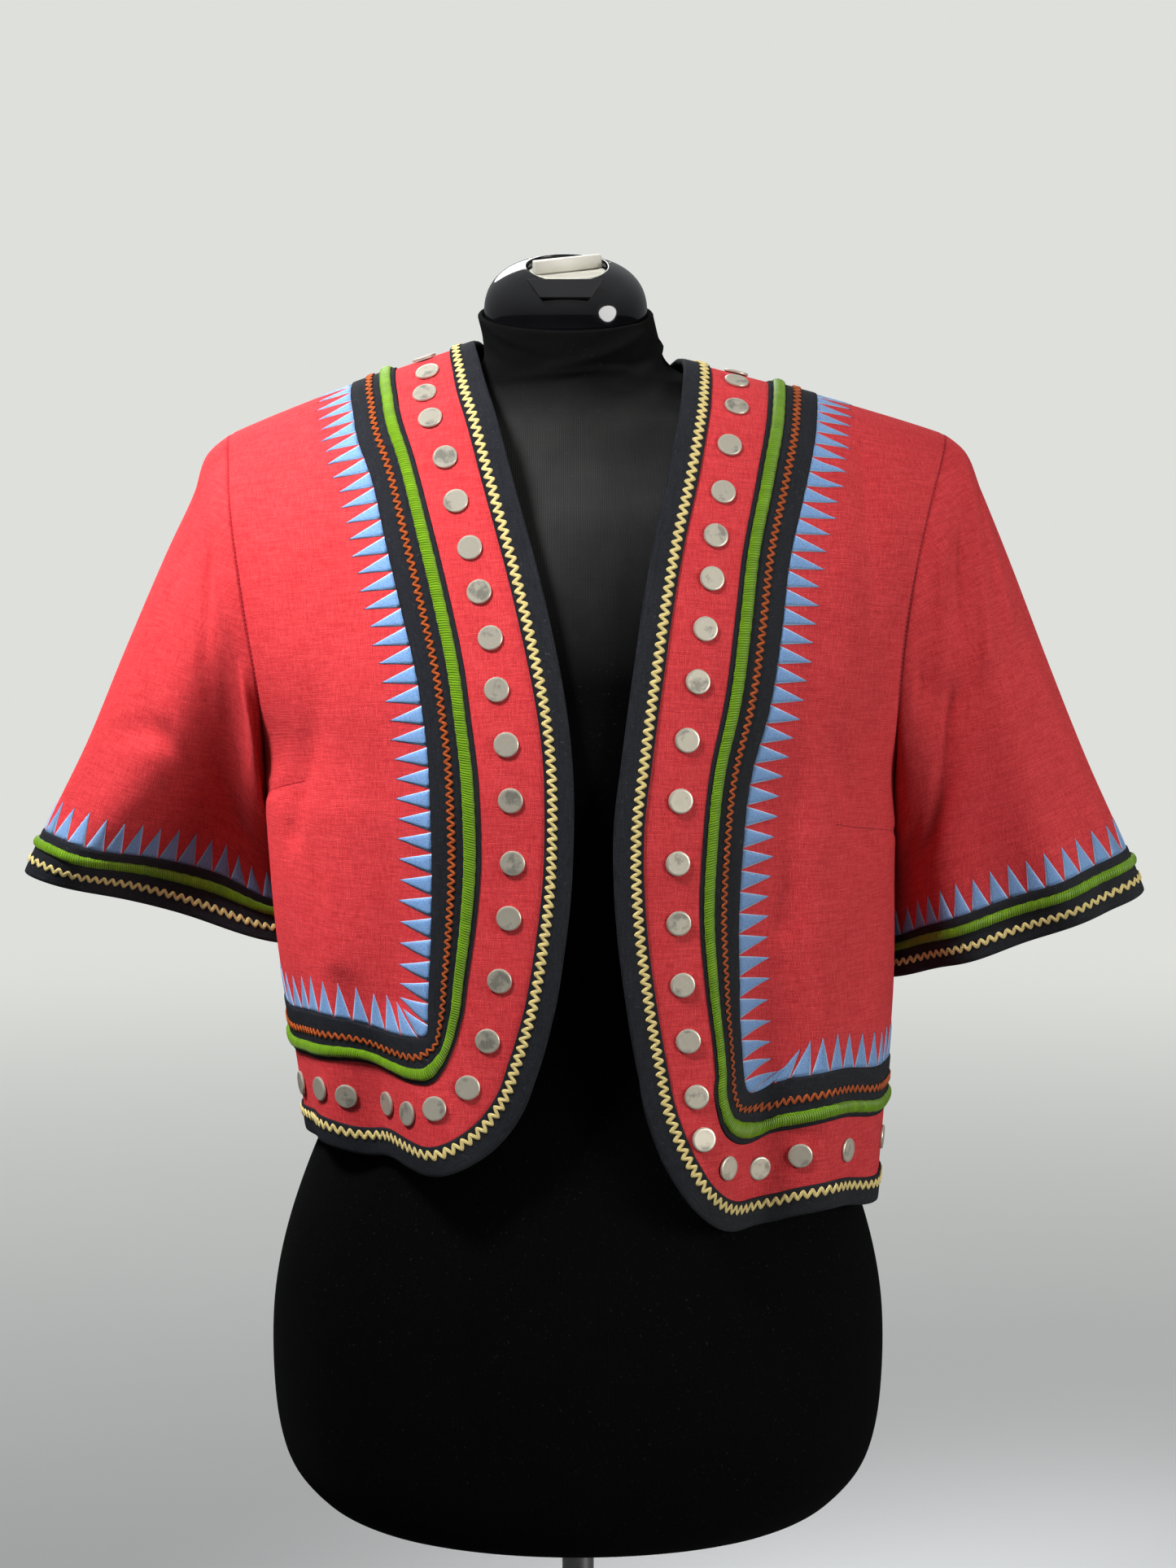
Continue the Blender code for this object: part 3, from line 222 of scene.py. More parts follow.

# %% [markdown]
# ## Creases
# Linen holds soft folds. Each fold here is a line on the flat cloth, with a width and a height at
# either end: plus is a ridge and minus a trough. A table of them is placed from the photograph,
# uneven in length and depth, and the hidden sides get similar ones. The cloth's points are moved
# out along its normals by the sum, so whatever is sewn on the cloth follows the folds.

# %% Creases of the body and the sleeves
# across, up, across, up, width, height at the first end, height at the second
# Lengths across are from the middle line, negative on the wearer's right.
FRONT_CREASES = (
    (-0.084, 0.000, -0.088, 0.110, 0.020, 0.0130, 0.0010),
    (-0.136, 0.000, -0.128, 0.140, 0.018, -0.0100, 0.0000),
    (-0.168, 0.000, -0.160, 0.180, 0.018, 0.0040, 0.0000),
    (-0.196, 0.000, -0.180, 0.160, 0.015, -0.0026, 0.0000),
    (-0.110, 0.100, -0.120, 0.280, 0.012, -0.0036, 0.0000),
    (-0.146, 0.120, -0.150, 0.320, 0.012, 0.0036, 0.0000),
    (-0.186, 0.190, -0.130, 0.340, 0.010, -0.0034, 0.0000),
    (-0.140, 0.420, -0.165, 0.330, 0.010, 0.0016, 0.0000),
    (0.070, 0.000, 0.076, 0.150, 0.020, 0.0090, 0.0010),
    (0.118, 0.000, 0.108, 0.300, 0.019, -0.0120, 0.0000),
    (0.156, 0.000, 0.142, 0.280, 0.018, 0.0070, 0.0010),
    (0.200, 0.000, 0.186, 0.220, 0.018, 0.0050, 0.0000),
    (-0.247, 0.208, -0.176, 0.222, 0.0030, -0.0012, -0.0004),
    (0.2505, 0.223, 0.158, 0.234, 0.0030, -0.0012, -0.0004),
    (0.122, 0.180, 0.140, 0.380, 0.010, -0.0040, 0.0000),
    (0.168, 0.465, 0.178, 0.300, 0.0065, -0.0032, -0.0006),
    (0.152, 0.450, 0.160, 0.300, 0.0070, 0.0026, 0.0004),
    (0.186, 0.430, 0.190, 0.350, 0.0060, 0.0016, 0.0002),
    (0.186, 0.225, 0.120, 0.340, 0.010, -0.0034, 0.0000),
)
BACK_CREASES = (
    (-0.140, 0.000, -0.120, 0.240, 0.024, 0.0070, 0.0000),
    (-0.090, 0.000, -0.080, 0.180, 0.018, -0.0050, 0.0000),
    (-0.030, 0.000, -0.034, 0.250, 0.022, 0.0050, 0.0000),
    (0.030, 0.000, 0.020, 0.200, 0.020, -0.0045, 0.0000),
    (0.086, 0.000, 0.080, 0.260, 0.022, 0.0065, 0.0000),
    (0.146, 0.000, 0.120, 0.220, 0.020, -0.0045, 0.0000),
    (-0.170, 0.250, -0.090, 0.330, 0.012, -0.0022, 0.0000),
    (0.180, 0.250, 0.100, 0.340, 0.012, -0.0022, 0.0000),
    (-0.120, 0.420, -0.060, 0.340, 0.012, 0.0016, 0.0000),
    (0.130, 0.420, 0.070, 0.330, 0.012, 0.0018, 0.0000),
)
BODY_CREASES = {"front": FRONT_CREASES, "back": BACK_CREASES}

# turn, down, turn, down, width, height at the first end, height at the second
# Turn is in degrees round the sleeve: 0 is the shoulder line, 90 the front, 180 the underarm.
RIGHT_SLEEVE_CREASES = (
    (80, 0.06, 50, 0.92, 0.020, 0.0030, 0.0090),
    (112, 0.30, 84, 0.96, 0.040, -0.0100, -0.0180),
    (140, 0.50, 116, 1.00, 0.026, -0.0060, -0.0080),
    (108, 0.08, 158, 0.30, 0.010, 0.0045, 0.0030),
    (158, 0.30, 162, 1.00, 0.012, 0.0040, 0.0050),
    (60, 0.10, 84, 0.30, 0.009, -0.0026, -0.0010),
    (34, 0.22, 56, 0.50, 0.012, -0.0032, -0.0014),
    (70, 0.50, 38, 0.62, 0.008, -0.0036, -0.0010),
    (230, 0.15, 250, 0.90, 0.022, 0.0050, 0.0060),
    (275, 0.25, 280, 1.00, 0.020, -0.0050, -0.0050),
    (310, 0.10, 315, 0.80, 0.018, 0.0040, 0.0020),
)
LEFT_SLEEVE_CREASES = (
    (52, 0.12, 84, 0.26, 0.0075, -0.0034, -0.0020),
    (62, 0.06, 96, 0.24, 0.0075, 0.0028, 0.0016),
    (92, 0.26, 120, 0.44, 0.015, -0.0050, -0.0040),
    (74, 0.20, 100, 0.34, 0.008, 0.0020, 0.0020),
    (22, 0.03, 62, 0.30, 0.008, 0.0044, 0.0030),
    (62, 0.30, 66, 0.95, 0.014, 0.0024, 0.0040),
    (24, 0.14, 54, 0.46, 0.008, 0.0034, 0.0010),
    (44, 0.40, 44, 1.00, 0.013, -0.0012, -0.0030),
    (96, 0.12, 90, 0.24, 0.010, -0.0030, -0.0010),
    (92, 0.55, 88, 1.00, 0.018, -0.0010, -0.0040),
    (112, 0.50, 110, 1.00, 0.016, 0.0010, 0.0040),
    (140, 0.36, 132, 1.00, 0.016, -0.0030, -0.0040),
    (230, 0.15, 250, 0.90, 0.022, 0.0050, 0.0060),
    (272, 0.25, 276, 1.00, 0.020, -0.0050, -0.0050),
    (312, 0.10, 318, 0.80, 0.018, 0.0040, 0.0020),
)
SLEEVE_CREASES = {RIGHT: RIGHT_SLEEVE_CREASES, LEFT: LEFT_SLEEVE_CREASES}

# %% [markdown]
# ## Curves and folds
# Small helpers do the arithmetic. One reads a smooth curve through a table's column, one is a soft
# step, and one adds up the length along a line. The last ones add up the folds: the distance to a
# fold's line gives a bell-shaped ridge.


# %% Curve helpers
def smooth(stations, values, at):
    """A smooth curve through a table's column, read at any number of places."""
    stations = np.asarray(stations, float)
    values = np.asarray(values, float)
    slopes = np.gradient(values, stations)
    at = np.clip(at, stations[0], stations[-1])
    row = np.clip(np.searchsorted(stations, at, side="right") - 1, 0, len(stations) - 2)
    step = stations[row + 1] - stations[row]
    t = (at - stations[row]) / step
    start = values[row] * (2 * t**3 - 3 * t**2 + 1) + step * slopes[row] * (t**3 - 2 * t**2 + t)
    end = values[row + 1] * (3 * t**2 - 2 * t**3) + step * slopes[row + 1] * (t**3 - t**2)
    return start + end


def ease(t):
    """0 below 0, 1 above 1 and a smooth step between."""
    t = np.clip(t, 0.0, 1.0)
    return t * t * (3 - 2 * t)


def column(table, index):
    """One column of a table."""
    return [row[index] for row in table]


def unit(vectors):
    """Vectors made one long."""
    return vectors / np.maximum(np.linalg.norm(vectors, axis=-1, keepdims=True), 1e-12)


def runs_along(points):
    """How far along a line of points each of them is."""
    steps = np.linalg.norm(np.diff(points, axis=0), axis=1)
    return np.concatenate([[0.0], np.cumsum(steps)])


def pairs(first, second):
    """Pairs of numbers for a grid, from the numbers each way."""
    return np.stack(np.broadcast_arrays(first, second), axis=-1)


def crease(across, up, ends, width, heights):
    """Height of one fold at flat places: a bell about the line between its two ends."""
    start = np.array(ends[0])
    along = np.array(ends[1]) - start
    share = ((across - start[0]) * along[0] + (up - start[1]) * along[1]) / along.dot(along)
    share = np.clip(share, 0.0, 1.0)
    gap = np.hypot(across - start[0] - share * along[0], up - start[1] - share * along[1])
    return (heights[0] + (heights[1] - heights[0]) * ease(share)) * np.exp(-((gap / width) ** 2))


def body_folds(face, across, up):
    """How far the folds move the body's cloth out."""
    total = np.zeros_like(np.asarray(across, float))
    for x0, up0, x1, up1, width, low, high in BODY_CREASES[face]:
        total = total + crease(across, up, ((x0, up0), (x1, up1)), width, (low, high))
    return total


print("folds on the body", len(FRONT_CREASES) + len(BACK_CREASES))

# %% [markdown]
# ## The draft
# A place on the jacket is found in two steps, as in dressmaking. A piece is cut flat, in lengths
# across and up, and the flat cut is laid on the draft, which knows how long each row of the worn
# shape is. That way the weave, the bands and the teeth keep their real sizes on the curved cloth.


# %% The worn shape
LEVEL_UPS = column(LEVELS, 1)
TOP_UP = LEVEL_UPS[-1]


def body_point(face, u, up):
    """Points of the worn shape. u runs from -1, the right edge, through 0, the middle, to 1."""
    near = np.abs(u)
    depths = DEPTHS[face]
    middle_y = smooth(LEVEL_UPS, column(depths, 1), up)
    outer_y = np.where(up < ARMPIT_UP, 0.0, smooth(LEVEL_UPS, column(depths, 2), up))
    turn = np.radians(smooth(LEVEL_UPS, column(depths, 3), up))
    change = smooth(LEVEL_UPS, column(depths, 4), up)
    heights = []
    widths = []
    for first in (2, 5):
        middle = smooth(LEVEL_UPS, column(LEVELS, first), up)
        outer = smooth(LEVEL_UPS, column(LEVELS, first + 1), up)
        heights.append(middle + (outer - middle) * near)
        widths.append(smooth(LEVEL_UPS, column(LEVELS, first + 2), up))
    share = ease(0.5 + 0.5 * u / change)
    height = heights[0] * (1 - share) + heights[1] * share
    width = np.where(u < 0, widths[0], widths[1])
    angle = near * turn
    x = np.sign(u) * width * np.sin(angle) / np.sin(turn)
    y = outer_y + (middle_y - outer_y) * (np.cos(angle) - np.cos(turn)) / (1 - np.cos(turn))
    return np.stack([x, y, height + DATUM], axis=-1)


def body_normal(face, u, up):
    """The cloth's outward normal, square to the seams where two pieces meet."""
    du, dup = 0.004, 0.0015
    inside = np.clip(u, -1 + du, 1 - du)
    level = np.clip(up, dup, TOP_UP - dup)
    across = body_point(face, inside + du, level) - body_point(face, inside - du, level)
    upward = body_point(face, inside, level + dup) - body_point(face, inside, level - dup)
    out = unit(np.cross(across, upward) * (-1 if face == "back" else 1))
    below_seam = np.clip((TOP_UP - up) / RIDGE_DEPTH, 0.0, 1.0)
    from_side = np.where(up < ARMPIT_UP, np.clip((1.0 - np.abs(u)) / SIDE_SHARE, 0.0, 1.0), 1.0)
    out[..., 1] = out[..., 1] * below_seam * from_side
    return unit(out)


# %% Laying a flat cut
SEAM_DIP = 0.0005       # a sewn seam sinks into the cloth by this much
SEAM_REACH = 0.0040     # and this far from the stitching


class Draft:
    """One face of one side, with its lengths measured so that a flat cut can be laid on it."""

    LINES = 161

    def __init__(self, face, side):
        self.face = face
        self.side = side
        measure = 0.5 if face == "front" else 0.0
        self.levels = np.linspace(0.0, TOP_UP, self.LINES)
        spine = body_point(face, np.full(self.LINES, side * measure), self.levels)
        self.spine_up = runs_along(spine)
        share = np.linspace(0.0, 1.0, self.LINES)
        grid_u, grid_level = np.meshgrid(share, self.levels)
        rows = body_point(face, side * grid_u, grid_level)
        steps = np.linalg.norm(np.diff(rows, axis=1), axis=2)
        lengths = np.concatenate([np.zeros((self.LINES, 1)), np.cumsum(steps, axis=1)], axis=1)
        self.reaches = lengths[:, -1]
        self.table = np.array([np.interp(share * row[-1], row, share) for row in lengths])
        self.top = self.spine_up[-1]
        self.armpit = float(np.interp(ARMPIT_UP, self.levels, self.spine_up))

    def reach(self, up):
        """Length across the cloth from the middle line to the outer edge."""
        level = np.interp(up, self.spine_up, self.levels)
        return np.interp(level, self.levels, self.reaches)

    def seam_dip(self, across, up):
        """How far the cloth sinks beside its side seam, armhole and shoulder seam."""
        from_side = (self.reach(up) - across) / SEAM_REACH
        from_top = (self.top - up) / SEAM_REACH
        return SEAM_DIP * (1.0 - ease(np.minimum(from_side, from_top)))

    def lay(self, across, up, lift=0.0, sewn=True):
        """Points and normals of the cloth at flat places, moved out by lift."""
        across = np.asarray(across, float)
        up = np.asarray(up, float)
        level = np.interp(up, self.spine_up, self.levels)
        share = np.clip(across / np.interp(level, self.levels, self.reaches), 0.0, 1.0)
        row = level / TOP_UP * (self.LINES - 1)
        low = np.clip(row.astype(int), 0, self.LINES - 2)
        place = share * (self.LINES - 1)
        cell = np.clip(place.astype(int), 0, self.LINES - 2)
        t = row - low
        s = place - cell
        table = self.table
        below = table[low, cell] * (1 - s) + table[low, cell + 1] * s
        above = table[low + 1, cell] * (1 - s) + table[low + 1, cell + 1] * s
        u = self.side * (below * (1 - t) + above * t)
        normals = body_normal(self.face, u, level)
        out = lift + body_folds(self.face, self.side * across, up)
        if sewn:
            out = out - self.seam_dip(across, up)
        return body_point(self.face, u, level) + normals * out[..., None], normals

    def lay_flat(self, flat, lift=0.0):
        """The same for an array of flat places."""
        return self.lay(flat[..., 0], flat[..., 1], lift)


fronts = {side: Draft("front", side) for side in (RIGHT, LEFT)}
backs = {side: Draft("back", side) for side in (RIGHT, LEFT)}
print("front seam", round(fronts[RIGHT].top, 4), "back seam", round(backs[RIGHT].top, 4))

# %% [markdown]
# ## Strips
# All the trims run parallel to an edge. A strip knows one edge: it turns a share of the way along
# it and a distance in from it into a flat place, and lays that place on the cloth. The fronts' edge
# goes down from the shoulder seam, round the lower corner and along the hem to the side seam.


# %% Strips along the edges of the body
class Strip:
    """An edge of the cloth and the places beside it."""

    SAMPLES = 1201

    def __init__(self, name, flat, lay, closed=False):
        self.name = name
        self.flat = flat        # (share along, distance in) to flat places
        self.lay_flat = lay     # (flat places, lift) to points and normals
        self.closed = closed
        self.measured = {}

    def lay(self, along, inward, lift):
        """Points and normals at shares along the strip and distances in from its edge."""
        along, inward, lift = np.broadcast_arrays(along, inward, lift)
        return self.lay_flat(self.flat(along, inward), lift)

    def lengths(self, inward):
        """Shares along the strip, and how far along the cloth each one is, at a distance in."""
        if inward not in self.measured:
            shares = np.linspace(0.0, 1.0, self.SAMPLES)
            self.measured[inward] = (shares, runs_along(self.lay(shares, inward, 0.0)[0]))
        return self.measured[inward]

    def length(self, inward):
        """Whole length at a distance in."""
        return float(self.lengths(inward)[1][-1])

    def share(self, run, inward):
        """Share along the strip at a length run along it."""
        shares, runs = self.lengths(inward)
        return np.interp(run, runs, shares)


UPPER_SHARE, CORNER_SHARE = 0.50, 0.68


def front_flat(draft):
    """The flat places beside a front's edge, as a function."""
    side_column = 1 if draft.side == RIGHT else 2
    taper = TAPERS[side_column - 1]
    low, high = CORNER, draft.top - SEAM / 2
    shares = column(FRONT_EDGE, 0)
    offsets = column(FRONT_EDGE, side_column)
    middle = offsets[0] + CORNER
    step = 0.01
    soft = 0.04
    stations, *shifts = (column(LINE_SHIFTS[draft.side], k) for k in range(4))

    def flat(along, inward):
        along, inward = np.broadcast_arrays(np.asarray(along, float), inward)
        edge, outer, inner = (smooth(stations, values, along) / 1000 for values in shifts)
        past_edge = np.clip((inward - EDGE_BAND[1]) / (INNER_BAND[0] - EDGE_BAND[1]), 0.0, 1.0)
        past_outer = np.clip((inward - INNER_BAND[0]) / (INNER_BAND[1] - INNER_BAND[0]), 0.0, 1.0)
        inward = inward + edge + (outer - edge) * past_edge + (inner - outer) * past_outer
        share = 1.0 - along / UPPER_SHARE
        clipped = np.clip(share, 0.0, 1.0)
        across = smooth(shares, offsets, clipped)
        ahead = smooth(shares, offsets, np.clip(clipped + step, 0, 1))
        behind = smooth(shares, offsets, np.clip(clipped - step, 0, 1))
        slope = (ahead - behind) / (2 * step * (high - low))
        slope = slope * ease(clipped / soft) * ease((1.0 - clipped) / soft)
        narrow = 1.0 - taper * ease((clipped - TAPER_START) / (1.0 - TAPER_START))
        length = np.hypot(1.0, slope) / narrow
        upper = (across + inward / length, low + (high - low) * clipped - inward * slope / length)

        angle = math.pi * (1 + 0.5 * (along - UPPER_SHARE) / (CORNER_SHARE - UPPER_SHARE))
        radius = CORNER - inward
        corner = (middle + radius * np.cos(angle), CORNER + radius * np.sin(angle))

        out = (along - CORNER_SHARE) / (1.0 - CORNER_SHARE)
        hem = (middle + (draft.reach(inward) - SEAM / 2 - middle) * out, inward + 0.0 * along)

        where = [along < UPPER_SHARE, along < CORNER_SHARE]
        parts = zip(upper, corner, hem, strict=True)
        return np.stack([np.select(where, [a, b], c) for a, b, c in parts], axis=-1)

    return flat


def front_strip(side):
    """A front's whole edge."""
    draft = fronts[side]
    name = "front_right" if side == RIGHT else "front_left"
    return Strip(name, front_flat(draft), draft.lay_flat)


def lay_back(flat, lift):
    """Lay flat places on the back, whose two sides go by the sign of the length across."""
    across = np.abs(flat[..., 0])
    right_side = backs[RIGHT].lay(across, flat[..., 1], lift)
    left_side = backs[LEFT].lay(across, flat[..., 1], lift)
    on_right = (flat[..., 0] < 0)[..., None]
    return tuple(np.where(on_right, a, b) for a, b in zip(right_side, left_side, strict=True))


def other_up(draft, other, up):
    """The flat height on the other face that lies at the same level."""
    return np.interp(np.interp(up, draft.spine_up, draft.levels), other.levels, other.spine_up)


def back_hem_flat(along, inward):
    """Flat places beside the back's hem, level with the fronts' trims at the side seams."""
    up = inward + 0.0 * along
    for side, away in ((RIGHT, along), (LEFT, 1.0 - along)):
        bend = other_up(fronts[side], backs[side], inward) - inward
        up = up + bend * ease(1.0 - away / HEM_MEET)
    right_end = -(backs[RIGHT].reach(up) - SEAM / 2)
    left_end = backs[LEFT].reach(up) - SEAM / 2
    return np.stack([right_end + (left_end - right_end) * along, up], axis=-1)


def back_neck_flat(along, inward):
    """Flat places below the back neck, half an ellipse between the shoulder seams."""
    top = backs[RIGHT].top - SEAM / 2
    ends = (-FRONT_EDGE[-1][1], FRONT_EDGE[-1][2])
    middle, radius = (ends[0] + ends[1]) / 2, (ends[1] - ends[0]) / 2
    angle = math.pi * (1 + along)
    out = unit(np.stack([NECK_DROP * np.cos(angle), radius * np.sin(angle)], axis=-1))
    narrow = 1.0 - TAPERS[0] + (TAPERS[0] - TAPERS[1]) * along
    across = middle + radius * np.cos(angle) + out[..., 0] * inward * narrow
    up = top + NECK_DROP * np.sin(angle) + out[..., 1] * inward * narrow
    return np.stack([across, np.minimum(up, top)], axis=-1)


right_strip, left_strip = front_strip(RIGHT), front_strip(LEFT)
hem_strip = Strip("back_hem", back_hem_flat, lay_back)
neck_strip = Strip("back_neck", back_neck_flat, lay_back)
BODY_STRIPS = (right_strip, left_strip, hem_strip, neck_strip)
for strip in BODY_STRIPS:
    print(strip.name, "edge", round(strip.length(0.0), 3), "m")

# %% [markdown]
# ## Sleeves as surfaces
# A sleeve starts on the armhole's own outline and becomes a slanted oval further down. Its surface
# is a function of two numbers, the share round and the share down, so that the hem's trims can be
# laid on it in the same way as on the body.


# %% Sleeve surface
class Sleeve:
    """A sleeve's surface with its flat lengths."""

    SAMPLES = 241

    def __init__(self, side):
        self.side = side
        self.name = "sleeve_right" if side == RIGHT else "sleeve_left"
        table = SLEEVES[side]
        self.shares = column(table, 0)
        self.columns = [column(table, index) for index in range(1, 8)]
        loop = self.armhole()
        self.along = np.linspace(0.0, 1.0, len(loop))
        start, pit = self.oval(np.zeros(1), 0.0)[0], self.oval(np.full(1, math.pi), 0.0)[0]
        middle, tall = (start + pit) / 2, np.linalg.norm(start - pit) / 2
        depth = table[0][5]
        turns = np.arctan2(-(loop[:, 1] - middle[1]) / depth, (loop[:, 2] - middle[2]) / tall)
        self.turns = np.unwrap(turns)
        gap = np.array([side * SEAM, 0.0, 0.0])
        self.drop = loop + gap - self.oval(self.turns, 0.0)
        self.downs = np.linspace(0.0, 1.0, 41)
        self.girths = [self.girth(down) for down in self.downs]
        lines = self.plain(self.along[None, ::4], self.downs[:, None])
        steps = np.linalg.norm(np.diff(lines, axis=0), axis=2)
        self.lengths = steps.sum(axis=0)
        self.length = float(self.lengths.max())

    def armhole(self):
        """The body's armhole, from the shoulder seam down the front and up the back."""
        halves = []
        for draft in (fronts[self.side], backs[self.side]):
            ups = np.linspace(draft.top - SEAM / 2, draft.armpit, self.SAMPLES)
            halves.append(draft.lay(draft.reach(ups), ups, sewn=False)[0])
        return np.concatenate([halves[0], halves[1][::-1][1:]])

    def oval(self, turns, down):
        """Points of the slanted oval at a share down."""
        outer_x, outer_z, inner_x, inner_z, depth, outer_y, inner_y = (
            smooth(self.shares, values, down) for values in self.columns
        )
        zero = np.zeros_like(outer_x + turns)
        outer = np.stack([self.side * outer_x + zero, outer_y + zero, outer_z + DATUM + zero], -1)
        inner = np.stack([self.side * inner_x + zero, inner_y + zero, inner_z + DATUM + zero], -1)
        front = np.stack([zero, -depth + zero, zero], -1)
        middle, reach = (outer + inner) / 2, (outer - inner) / 2
        return middle + np.cos(turns)[..., None] * reach + np.sin(turns)[..., None] * front

    def turn(self, along):
        """Angle round the sleeve at a share along its ring."""
        return np.interp(along, self.along, self.turns)

    def plain(self, along, down):
        """Points of the sleeve without its folds."""
        down = np.clip(down, 0.0, 1.0)
        drop = np.stack([np.interp(along, self.along, self.drop[:, k]) for k in range(3)], -1)
        fade = 1.0 - ease(down / HEAD_END)
        return self.oval(self.turn(along), down) + drop * fade[..., None]

    def girth(self, down):
        """Length round the sleeve."""
        ring = self.plain(self.along, np.full(len(self.along), down))
        return float(np.sum(np.linalg.norm(np.diff(ring, axis=0), axis=1)))

    def girth_at(self, down):
        """Length round the sleeve at any shares down."""
        return np.interp(down, self.downs, self.girths)

    def length_at(self, along):
        """Length from the armhole down to the hem, at any shares round."""
        return np.interp(along, self.along[::4], self.lengths)

    def normal(self, along, down):
        """The cloth's outward normal, square to the armhole seam at the top."""
        step = 0.004
        around = self.plain((along + step) % 1.0, down) - self.plain((along - step) % 1.0, down)
        deep = self.plain(along, down + step) - self.plain(along, down - step)
        out = unit(np.cross(around, deep)) * self.side
        out[..., 0] = out[..., 0] * ease(down / SQUARE_END)
        return unit(out)

    def folds(self, along, down):
        """How far the folds move the cloth out."""
        girth = self.girth_at(down)
        across = np.degrees(self.turn(along)) / 360.0 * girth
        total = np.zeros_like(across)
        for turn0, down0, turn1, down1, width, low, high in SLEEVE_CREASES[self.side]:
            ends = (
                (turn0 / 360.0 * self.girth_at(down0), down0 * self.length),
                (turn1 / 360.0 * self.girth_at(down1), down1 * self.length),
            )
            total = total + crease(across, down * self.length, ends, width, (low, high))
        dip = SEAM_DIP * (1.0 - ease(down * self.length_at(along) / SEAM_REACH))
        return total * ease(down / FOLDS_START) - dip

    def lay(self, along, down, lift):
        """Points and normals of the folded cloth, moved out by lift."""
        parts = np.broadcast_arrays(along, down, lift)
        along, down, lift = (np.asarray(part, float) for part in parts)
        normals = self.normal(along, down)
        out = self.folds(along, down) + lift
        return self.plain(along, down) + normals * out[..., None], normals

    def hem_strip(self):
        """The strip along the hem, from the outer side down the front and up the back."""

        def lay(flat, lift):
            along, up = flat[..., 0], flat[..., 1]
            return self.lay(along, 1.0 - up / self.length_at(along), lift)

        return Strip(self.name, pairs, lay, closed=True)


sleeves = {side: Sleeve(side) for side in (RIGHT, LEFT)}
sleeve_strips = {side: sleeves[side].hem_strip() for side in (RIGHT, LEFT)}
for side in (RIGHT, LEFT):
    print(sleeves[side].name, "girth at the hem", round(sleeves[side].girth(1.0), 3), "m")

# %% [markdown]
# ## Meshes from grids
# A cloth piece starts as Blender's own grid. Each of its points is moved to its place on the worn
# shape, and keeps its flat place as a UV map in metres, so that one weave pattern has the same
# scale on every piece. Grids that meet are merged along their shared line, and a Solidify modifier
# gives the cloth its thickness.


# %% Grid helpers
MERGE = 0.00002


def fill_grid(bm, places, outward, **maps):
    """Add a grid of faces through an array of places. maps are its UV maps, one pair a place."""
    rows, columns = places.shape[0] - 1, places.shape[1] - 1
    made = bmesh.ops.create_grid(bm, x_segments=columns, y_segments=rows, size=0.5)
    verts = made["verts"]
    cells = {
        vert: (round((vert.co.y + 0.5) * rows), round((vert.co.x + 0.5) * columns))
        for vert in verts
    }
    faces = {face for vert in verts for face in vert.link_faces}
    for name, flat in maps.items():
        layer = bm.loops.layers.uv.get(name) or bm.loops.layers.uv.new(name)
        for face in faces:
            for loop in face.loops:
                loop[layer].uv = flat[cells[loop.vert]]
    for vert, cell in cells.items():
        vert.co = places[cell]
    middle = (rows // 2, columns // 2)
    across = places[middle[0], middle[1] + 1] - places[middle]
    upward = places[middle[0] + 1, middle[1]] - places[middle]
    if np.dot(np.cross(across, upward), outward[middle]) < 0:
        bmesh.ops.reverse_faces(bm, faces=list(faces))


def new_piece(name, bm, finish, sharp=None, extra=False):
    """Put a mesh in the scene. It stands for the solid with its name, unless it is an extra."""
    own_name = name if extra else f"{name}_fine"
    mesh = bpy.data.meshes.new(own_name)
    bm.to_mesh(mesh)
    bm.free()
    mesh.materials.append(finish.material)
    mesh.shade_smooth()
    if sharp:
        mesh.set_sharp_from_angle(angle=math.radians(sharp))
    piece = bpy.data.objects.new(own_name, mesh)
    bpy.context.scene.collection.objects.link(piece)
    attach(piece, "root")
    if not extra:
        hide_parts(name)
    return piece


def give_wall(piece, wall):
    """Thickness inwards from the outer face."""
    solidify = piece.modifiers.new("wall", "SOLIDIFY")
    solidify.thickness = wall
    solidify.offset = -1.0
    return piece


def merged(grids):
    """A mesh from grids of (places, normals, flat), joined where they meet."""
    bm = bmesh.new()
    for places, normals, flat in grids:
        fill_grid(bm, places, normals, cut=flat)
    bmesh.ops.remove_doubles(bm, verts=bm.verts, dist=MERGE)
    return bm


def cloth_piece(name, grids, finish, wall=WALL):
    """A shell of cloth from one or more grids of (places, normals, flat)."""
    piece = new_piece(name, merged(grids), finish)
    print(name, len(piece.data.polygons), "faces")
    return give_wall(piece, wall)

# %% [markdown]
# ## Fabric and hard finishes
# Each finish is built from shader nodes, and a small class keeps the node code short. Effects that
# more than one finish uses are node groups: the weave of crossed threads, the uneven fading of worn
# cloth, and the round threads of stitching. A group only gives masks, heights and tones, and the
# colours are mixed in the finish itself.


